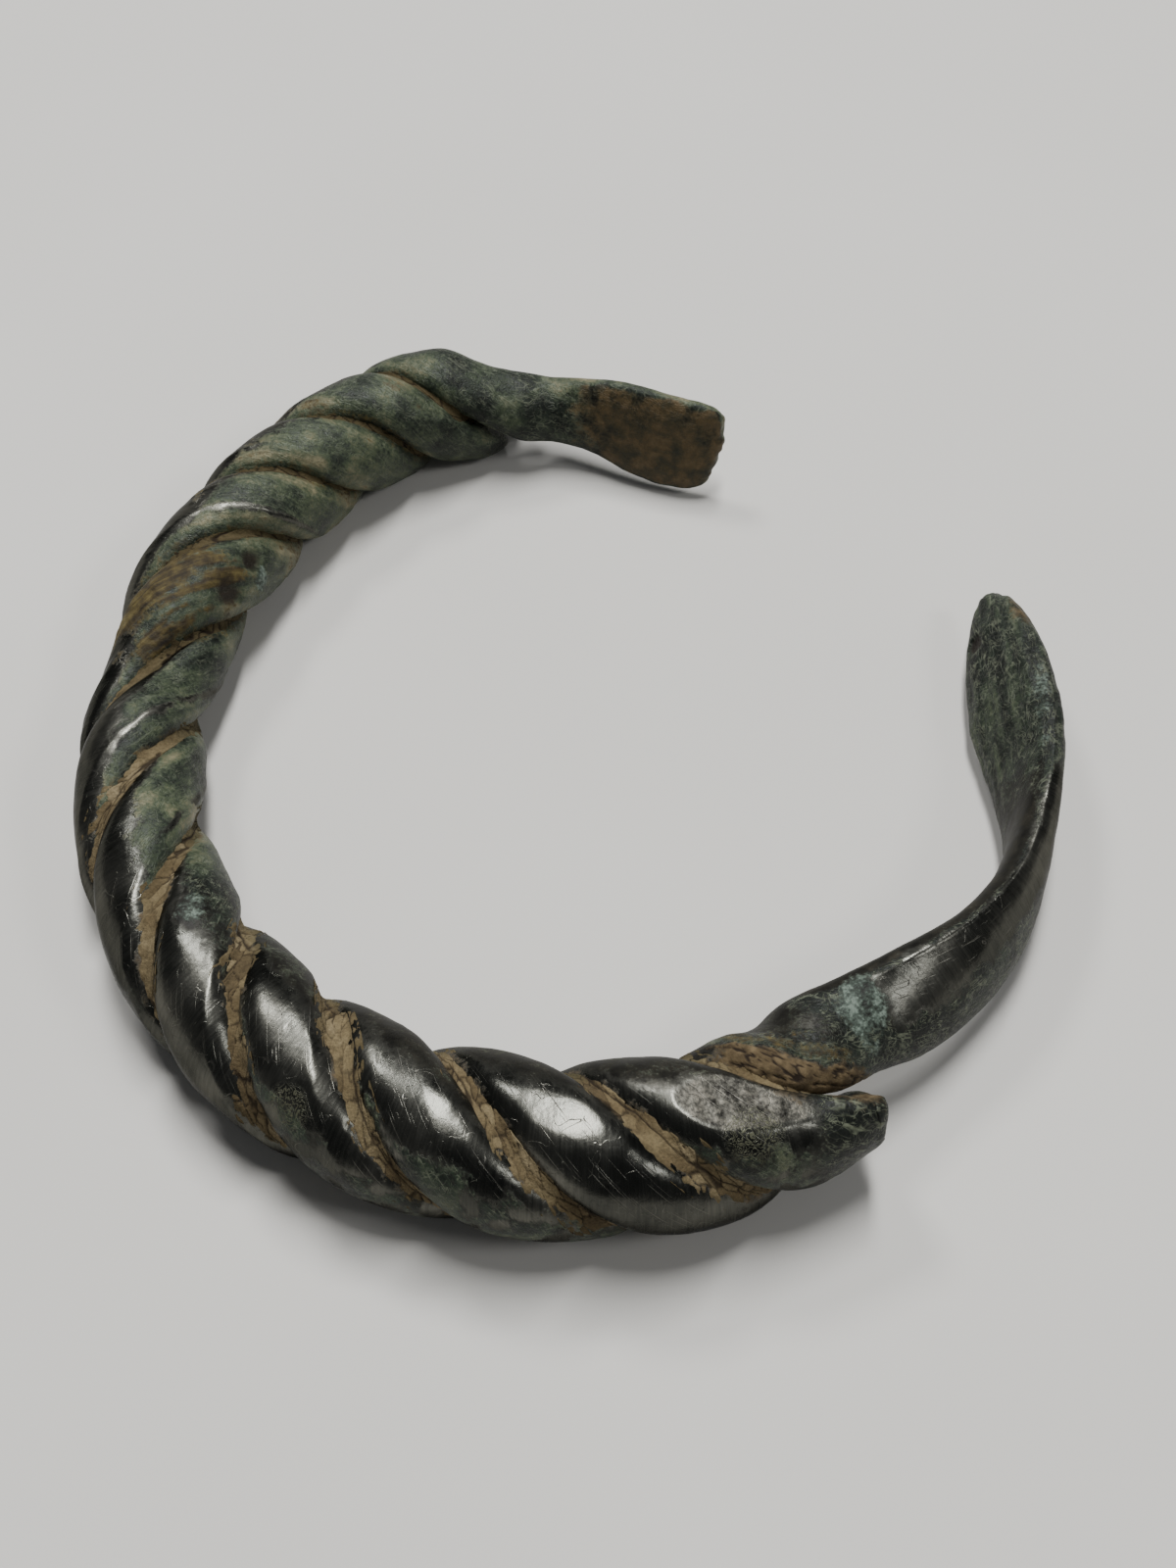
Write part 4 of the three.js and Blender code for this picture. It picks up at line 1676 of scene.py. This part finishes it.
    def flatten(self, points: np.ndarray, s: Surface) -> tuple[np.ndarray, np.ndarray]:
        """Rubs the facets flat: what stands above a facet's plane is brought down to it.

        Of a soft flat, only the square of that height over the height plus the flat's depth.

        Args:
            points: the surface with its relief.
            s: the smooth surface, which gives each facet's place and lean.

        Returns:
            The points with the facets worn in, and where they are rubbed bare, from 0 to 1.
        """
        bare = np.zeros(points.shape[:2])
        for mark in self.marks:
            if mark.kind in (MarkKind.FACET, MarkKind.FLAT):
                place, lean = s.spot(mark)
                above = np.clip((points - place) @ lean + mark.depth, 0, None)
                above = above * ramp(s.away(mark), self.facet_edge * mark.size, mark.size)
                uneven = 1 - self.facet_uneven * self.facet_grain.on(s, self.noise)
                if mark.kind is MarkKind.FLAT:
                    above = above**2 / (above + mark.depth)
                points = points - (above * uneven)[..., None] * lean
                if mark.kind is MarkKind.FACET:
                    bare = np.maximum(bare, ramp(above, *self.facet_bares))
        return points, bare

    def ragged(self, points: np.ndarray, s: Surface) -> np.ndarray:
        """Wears the terminals' ends uneven: they run out further or less far round the section.

        Args:
            points: the surface with its relief.
            s: the smooth surface.

        Returns:
            The points, moved along the rod near its two ends.
        """
        along = np.gradient(s.points.mean(axis=1, keepdims=True), axis=0)
        along = along / np.maximum(np.linalg.norm(along, axis=-1, keepdims=True), TINY)
        wave = self.ragged_grain.on(s, self.noise)
        near_end = ramp(s.angle, self.first + self.ragged_first, self.first)
        near_end = near_end + ramp(s.angle, self.last - self.ragged_last, self.last)
        return points + (self.end_wear * near_end * wave)[..., None] * along

    def snap(self, points: np.ndarray) -> tuple[np.ndarray, np.ndarray]:
        """Breaks the rod: what lies past the oblique break is pressed back to a rough plane.

        Args:
            points: the surface with its relief.

        Returns:
            The points, and where they lie on the break, from 0 to 1.
        """
        heading = math.radians(BREAK_ANGLE - BREAK_SLANT)
        normal = np.array([-math.sin(heading), math.cos(heading), 0.0])
        at = on_ring(np.array([BREAK_ANGLE]), np.array([[BREAK_RADIUS]]), np.array([[BREAK_HEIGHT]]))[0, 0]
        rough = sum(size * grain.at(points, self.noise) for size, grain in self.break_rough)
        past = np.clip((points - at) @ normal + rough, 0, None)
        return points - past[..., None] * normal, ramp(past, *self.break_edge)

    def build(self, material: bpy.types.Material) -> bpy.types.Object:
        """Makes the rod's mesh with its relief and its painted fields.

        Args:
            material: the bronze.

        Returns:
            The finished piece.
        """
        s, ends = self.surface()
        wear = TwistWear().fields(self, s)
        height, hollow = RodRelief().height(self, s, wear)
        fade = ramp(np.minimum(s.angle - self.first, self.last - s.angle), 0.0, self.relief_fade)
        points = s.points + (height * fade)[..., None] * s.normals
        points, bare = self.flatten(points, s)
        wear["bare"] = bare * (1 - wear["green"])
        if self.strand is Strand.TERMINAL:
            points = self.ragged(points, s)
            ends = np.stack([points[0].mean(axis=0), points[-1].mean(axis=0)])
        if self.strand is Strand.BROKEN:
            points, broken = self.snap(points)
            ends = np.stack([ends[0], points[-1].mean(axis=0)])
            wear["polish"] = wear["polish"] * (1 - broken)
            wear["bare"] = wear["bare"] * (1 - broken)
            wear["green"] = wear["green"] * (1 - self.break_bares * broken)
            wear["dust"] = np.maximum(wear["dust"], self.break_dust * broken)
        points[..., 2] = np.maximum(points[..., 2], 0.0)
        return place_piece(
            f"{self.name}_bronze", points, ends, wear | {"hollow": hollow, "lay": s.lay}, material
        )

    def dress(self, material: bpy.types.Material) -> None:
        """Builds the rod and puts it in the place of its solid.

        Args:
            material: the bronze.
        """
        piece = self.build(material)
        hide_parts(self.name)


@dataclass
class GrooveEarth:
    """Earth packed into the groove between two neighbouring rods, from end to end of the twist.

    A pair of numbers holds the values at which a share leaves 0 and reaches 1.
    """

    name: str
    near: TwistedRod
    far: TwistedRod
    first: float
    last: float
    # Mesh: length of a row, columns on the surface and below it, and the groove's length against
    # the ring's.
    step: float = 0.11
    columns: int = 44
    floor_columns: int = 6
    slant: float = 1.35
    # Ribbon: depth in mm, how far its edges run into the rods as a share of its width, where its
    # floor lies between them, the least width and height, and how its ends sink.
    depth: float = 1.3
    overlap: float = 0.3
    floor_span: Pair = (0.85, 0.15)
    least_width: float = 0.05
    least_height: float = 0.02
    end_length: float = 2.5
    end_drop: float = 0.8
    noise: Noise = field(default_factory=lambda: Noise(29))
    # Edges: waves in degrees round the rods, and shifts that set the two edges apart.
    edge_waves: tuple[tuple[float, Grain], ...] = ((3.5, Grain(1.8)), (3.0, Grain(8.0, 57)))
    edge_shifts: Pair = (0, 33)
    # Surface: its sag as a share of a width up to a limit, and its lumps.
    sag: float = 0.16
    sag_width: float = 1.5
    lumps: tuple[tuple[float, Grain], ...] = ((0.08, Grain(1.9)), (0.045, Grain(0.5, 15, 2)))
    # Plates: their cells, squeezed along the groove and bent, and where they are split apart.
    plate_cell: float = 1.15
    plate_squeeze: Triple = (0.75, 1.0, 1.0)
    plate_bend: float = 0.35
    bends: tuple[Grain, Grain] = (Grain(1.1, 5, 2), Grain(1.1, 8, 2))
    split_size: float = 5.0
    split_shift: float = 12.0
    split_starts: Pair = (-0.5, 0.1)
    crack_edge: Pair = (0.095, 0.02)
    crack_share: float = 0.85
    crack_depth: float = 0.1
    # Seams along the groove, crevices along the near rod, and holes.
    seam_size: float = 1.5
    seam_shift: float = 31.0
    seam_squeeze: Triple = (0.16, 1.0, 1.0)
    seam_bend: float = 0.1
    seam_edge: Pair = (0.08, 0.02)
    seam_share: float = 0.9
    crevice_size: float = 7.0
    crevice_squeeze: Triple = (1.0, 0.0, 1.0)
    crevice_starts: Pair = (-0.2, 0.2)
    crevice_edge: Pair = (0.35, 0.1)
    crevice_depth: float = 0.5
    hole_cell: float = 1.4
    hole_shift: float = 71.0
    hole_edge: Pair = (0.15, 0.06)
    hole_depth: float = 0.12
    hole_share: float = 0.8
    # Stains: painted shade along the edges where the earth meets the rods, thin rusty earth on
    # the far lobes, olive inside the ring, tone of plates.
    cloud: Grain = Grain(6.0, 44)
    cloud_share: float = 0.25
    shaded_edge_grain: Grain = Grain(0.9, 25, 2)
    shaded_edge_torn: float = 0.1
    shaded_edge_reach: Pair = (0.34, 0.52)
    shaded_edge_share: float = 0.5
    rust_ends: Pair = (186, 160)
    rust_share: float = 0.85
    most_stain: float = 0.9
    olive_starts: Pair = (0.45, 0.9)
    olive_share: float = 0.7
    plate_tone: float = 0.6

    # Side of the rods at which the earth's surface meets them, along the ring: less is fuller.
    FILL = np.array([
        [100, 98], [120, 94], [150, 92], [166, 92], [176, 86], [190, 78], [215, 75], [250, 77],
        [270, 80], [284, 80], [290, 92], [296, 112], [300, 118],
    ])

    def edges(self, angles: np.ndarray, along: np.ndarray) -> tuple[np.ndarray, np.ndarray]:
        """Where the earth meets the two rods, at sides that wave along the groove.

        Args:
            angles: ring angles.
            along: length along the groove at each angle.

        Returns:
            Places on the near rod and the step from there to the far one, each as rows of
            distance from the ring centre and height.
        """
        line = np.stack([along, 0 * along, 0 * along], axis=-1)
        near_side, far_side = (
            follow(self.FILL, angles)[:, 0]
            + sum(size * grain.at(line + shift, self.noise) for size, grain in self.edge_waves)
            for shift in self.edge_shifts
        )
        near = np.array(self.near.at(angles, near_side))
        return near, np.array(self.far.at(angles, -far_side)) - near

    def breaks(self, flat: np.ndarray) -> dict[str, np.ndarray]:
        """Cracks, crevices and holes of the surface, to be painted dark as shade, and the tone of
        its plates.

        Cracks lie where two strewn points are equally near, and where a noise drawn out along
        the groove passes zero.

        Args:
            flat: grid of places on the flattened surface: along the groove, across it and 0.

        Returns:
            Shares by name, and the plates' tone round 0.5.
        """
        noise = self.noise
        bends = [bend.at(flat, noise) for bend in self.bends]
        bent = flat * self.plate_squeeze + self.plate_bend * np.stack([*bends, 0 * bends[0]], axis=-1)
        nearest, second, number = noise.cells(bent, self.plate_cell)
        split = ramp(noise.smooth(flat + self.split_shift, self.split_size), *self.split_starts)
        crack = self.crack_share * ramp(second - nearest, *self.crack_edge) * split
        seam = noise.smooth(flat * self.seam_squeeze + self.seam_shift, self.seam_size)
        seam = ramp(np.abs(seam + self.seam_bend * bends[0]), *self.seam_edge)
        crevice = noise.smooth(flat * self.crevice_squeeze, self.crevice_size)
        crevice = ramp(crevice, *self.crevice_starts) * ramp(flat[..., 1], *self.crevice_edge)
        hole = noise.cells(flat + self.hole_shift, self.hole_cell)[0]
        return {
            "crack": np.maximum(crack, self.seam_share * seam),
            "crevice": crevice,
            "hole": ramp(hole, *self.hole_edge),
            "plate": 0.5 + self.plate_tone * (number - 0.5) * split,
        }

    def grid(self) -> tuple[np.ndarray, np.ndarray, dict[str, np.ndarray]]:
        """Closed ribbon: at each ring angle a straight line from rod to rod, with a floor below.

        The surface sinks between the rods as a parabola and is a little lumpy. Both edges run a
        little into the rods.

        Returns:
            The grid of points, the two end points and the painted fields.
        """
        length = self.slant * math.radians(self.last - self.first) * TWIST_COURSE[:, 1].mean()
        rows = round(length / self.step)
        angles = np.linspace(self.first, self.last, rows)
        along = np.linspace(0, length, rows)
        near, step = self.edges(angles, along)
        (near_radius, near_height), (step_radius, step_height) = near[..., None], step[..., None]
        width = np.maximum(np.hypot(step_radius, step_height), self.least_width)

        w = np.linspace(-self.overlap, 1 + self.overlap, self.columns)[None]
        across = w * width
        flat = np.stack([np.broadcast_to(along[:, None], across.shape), across, 0 * across], axis=-1)
        breaks = self.breaks(flat)
        sag = self.sag * np.clip(4 * w * (1 - w), 0, 1) * np.minimum(width, self.sag_width)
        lumps = sum(size * grain.at(flat, self.noise) for size, grain in self.lumps)
        cuts = self.crack_depth * breaks["crack"] + self.crevice_depth * breaks["crevice"]
        cuts = cuts + self.hole_depth * breaks["hole"]
        taper = ramp(np.minimum(along, along[-1] - along), 0.0, self.end_length)[:, None]
        rise = lumps - sag - cuts - self.end_drop * (1 - taper)

        floor = np.zeros((rows, self.floor_columns))
        place = np.hstack([w + 0 * rise, np.linspace(*self.floor_span, self.floor_columns) + floor])
        lift = np.hstack([rise, floor - self.depth])
        radius = near_radius + place * step_radius - lift * step_height / width
        height = near_height + place * step_height + lift * step_radius / width
        points = on_ring(angles, radius, np.maximum(height, self.least_height))

        cloud = self.cloud_share * self.cloud.at(flat, self.noise)
        # Painted shade: darker towards both edges, where the earth meets the rods.
        shaded_edges = np.abs(w - 0.5) + self.shaded_edge_torn * self.shaded_edge_grain.at(flat, self.noise)
        shaded_edges = self.shaded_edge_share * ramp(shaded_edges, *self.shaded_edge_reach)
        rust = self.rust_share * ramp(angles, *self.rust_ends)[:, None]
        hollow = self.hole_share * breaks["hole"]
        ring, reach = follow(TWIST_COURSE, angles).T[..., None]
        inner = (ring - radius[:, : self.columns]) / reach
        # Painted shade: cracks, seams, crevices and holes are darkened in the earth's colour.
        fields = {
            "crack": np.maximum(np.maximum(breaks["crack"], breaks["crevice"]), hollow),
            "stain": np.clip(rust + shaded_edges + cloud, 0, self.most_stain),
            "olive": self.olive_share * ramp(inner + cloud, *self.olive_starts),
            "plate": breaks["plate"],
        }
        fields = {name: np.hstack([values, floor]) for name, values in fields.items()}
        return points, points[[0, -1]].mean(axis=1), fields

    def dress(self, material: bpy.types.Material) -> None:
        """Builds the ribbon of earth and lays it in its groove.

        Args:
            material: the earth.
        """
        points, ends, fields = self.grid()
        piece = place_piece(self.name, points, ends, fields, material)


@dataclass(frozen=True)
class Softbox:
    """Soft rectangular light: where it hangs seen from the ring, how far, how large, how strong."""

    name: str
    direction: Triple
    size: Pair
    watts: float
    distance: float = 1400.0

    def hang(self) -> None:
        """Hangs the light so that it faces the ring."""
        data = bpy.data.lights.new(self.name, "AREA")
        data.shape = "RECTANGLE"
        data.size, data.size_y = (side * MM for side in self.size)
        data.energy = self.watts
        lamp = bpy.data.objects.new(self.name, data)
        aim = np.array(self.direction) / np.linalg.norm(self.direction)
        lamp.location = aim * self.distance * MM
        lamp.rotation_euler = (math.acos(aim[2]), 0, math.atan2(aim[1], aim[0]) + math.pi / 2)
        bpy.context.scene.collection.objects.link(lamp)


@dataclass
class Studio:
    """Floor, lights and camera, at the angle from which the find was taken."""

    image_height: int = 1600
    focal_pixels: float = 2200.0
    sensor: float = 36.0
    elevation: float = 56.0
    distance: float = 166.67
    clip: Pair = (0.005, 20.0)
    floor_radius: float = 2500.0
    walls: str = "#b9bcc0"
    walls_strength: float = 0.24
    lights: tuple[Softbox, ...] = (
        Softbox("overhead softbox", (0.03, 0.29, 0.96), (210, 800), 26.0),
        Softbox("side softbox", (0.64, -0.26, 0.72), (330, 270), 4.0),
        Softbox("rear softbox", (-0.36, 0.54, 0.76), (300, 230), 7.8),
    )

    def camera(self) -> None:
        """Sets the camera on the ring centre, with the focal length given by the image's height."""
        data = bpy.data.cameras.new("camera")
        data.sensor_width = self.sensor
        data.lens = self.focal_pixels / self.image_height * self.sensor
        data.clip_start, data.clip_end = self.clip
        camera = bpy.data.objects.new("camera", data)
        tilt = math.radians(self.elevation)
        away = self.distance * np.array([0, -math.cos(tilt), math.sin(tilt)])
        target = np.array([*RING_CENTRE, -WEAR_DEPTH])
        camera.location = (target + away) * MM
        camera.rotation_euler = (math.pi / 2 - tilt, 0, 0)
        bpy.context.scene.collection.objects.link(camera)
        bpy.context.scene.camera = camera

    def floor(self) -> None:
        """Lays a wide square floor under the ring."""
        r = self.floor_radius
        mesh = bpy.data.meshes.new("floor")
        corners = np.array([[-r, -r, 0], [r, -r, 0], [r, r, 0], [-r, r, 0]]) * MM
        mesh.from_pydata(corners.tolist(), [], [(0, 1, 2, 3)])
        mesh.materials.append(PaleFloor().material())
        floor = bpy.data.objects.new("floor", mesh)
        bpy.context.scene.collection.objects.link(floor)

    def dress(self) -> None:
        """Sets up everything round the find."""
        self.floor()
        for softbox in self.lights:
            softbox.hang()
        world = bpy.data.worlds.new("studio walls")
        world.use_nodes = True
        background = world.node_tree.nodes["Background"]
        background.inputs["Color"].default_value = linear(self.walls)
        background.inputs["Strength"].default_value = self.walls_strength
        bpy.context.scene.world = world
        self.camera()


def rods() -> list[TwistedRod]:
    """The three rods with their ends and their single marks.

    Returns:
        The terminal rod, the broken one and the hidden one.
    """
    terminal = TwistedRod(
        "terminal_rod", Strand.TERMINAL, first=70, last=386, first_round=2.5, last_round=6,
        thinning=0.5, step=0.225, mottled_foot=0.9, end_wear=0.35,
        marks=(
            Mark(MarkKind.TURQUOISE, 307.2, -20, 2.4, 0.85),
            Mark(MarkKind.TURQUOISE, 305.4, 30, 1.0, 0.6),
            Mark(MarkKind.KNOB, 107.7, 52, 2.4, 0.7),
            Mark(MarkKind.PIT, 379.5, 150, 0.9, 0.3),
        ),
    )
    broken = TwistedRod(
        "broken_rod", Strand.BROKEN, first=98.5, last=303, first_round=10, last_round=3,
        thinning=1, step=0.16, mottled_foot=0.75,
        marks=(
            Mark(MarkKind.FACET, 286.8, -34, 5.2, 0.45),
            Mark(MarkKind.RING, 287.1, 4, 1.5),
            Mark(MarkKind.RING, 238.6, 7, 1.2),
        ),
    )
    hidden = TwistedRod(
        "hidden_rod", Strand.HIDDEN, first=101, last=293, first_round=6, last_round=2.5,
        thinning=1, step=0.16, mottled_foot=0.2,
        marks=(
            Mark(MarkKind.FLAT, 267.0, 0, 6.0, 0.26),
            Mark(MarkKind.PIT, 149.1, 30, 1.5, 0.3),
            Mark(MarkKind.PIT, 155.7, -30, 1.9, 0.35),
            Mark(MarkKind.TURQUOISE, 150.0, -8, 0.8, 1.0),
            Mark(MarkKind.TURQUOISE, 212.2, 26, 1.5, 0.6),
        ),
    )
    return [terminal, broken, hidden]


def main() -> None:
    """Builds the rods, the earth between them and the studio."""
    logging.basicConfig(level=logging.INFO, format="%(name)s: %(message)s")
    bronze = WornBronze().material()
    earth = DriedEarth().material()
    terminal, broken, hidden = rods()
    for rod in (terminal, broken, hidden):
        rod.dress(bronze)
    grooves = (
        GrooveEarth("earth_terminal_broken", terminal, broken, first=106, last=298),
        GrooveEarth("earth_broken_hidden", broken, hidden, first=106, last=292),
        GrooveEarth("earth_hidden_terminal", hidden, terminal, first=106, last=292),
    )
    for groove in grooves:
        groove.dress(earth)
    Studio().dress()


if __name__ == "__main__":
    main()
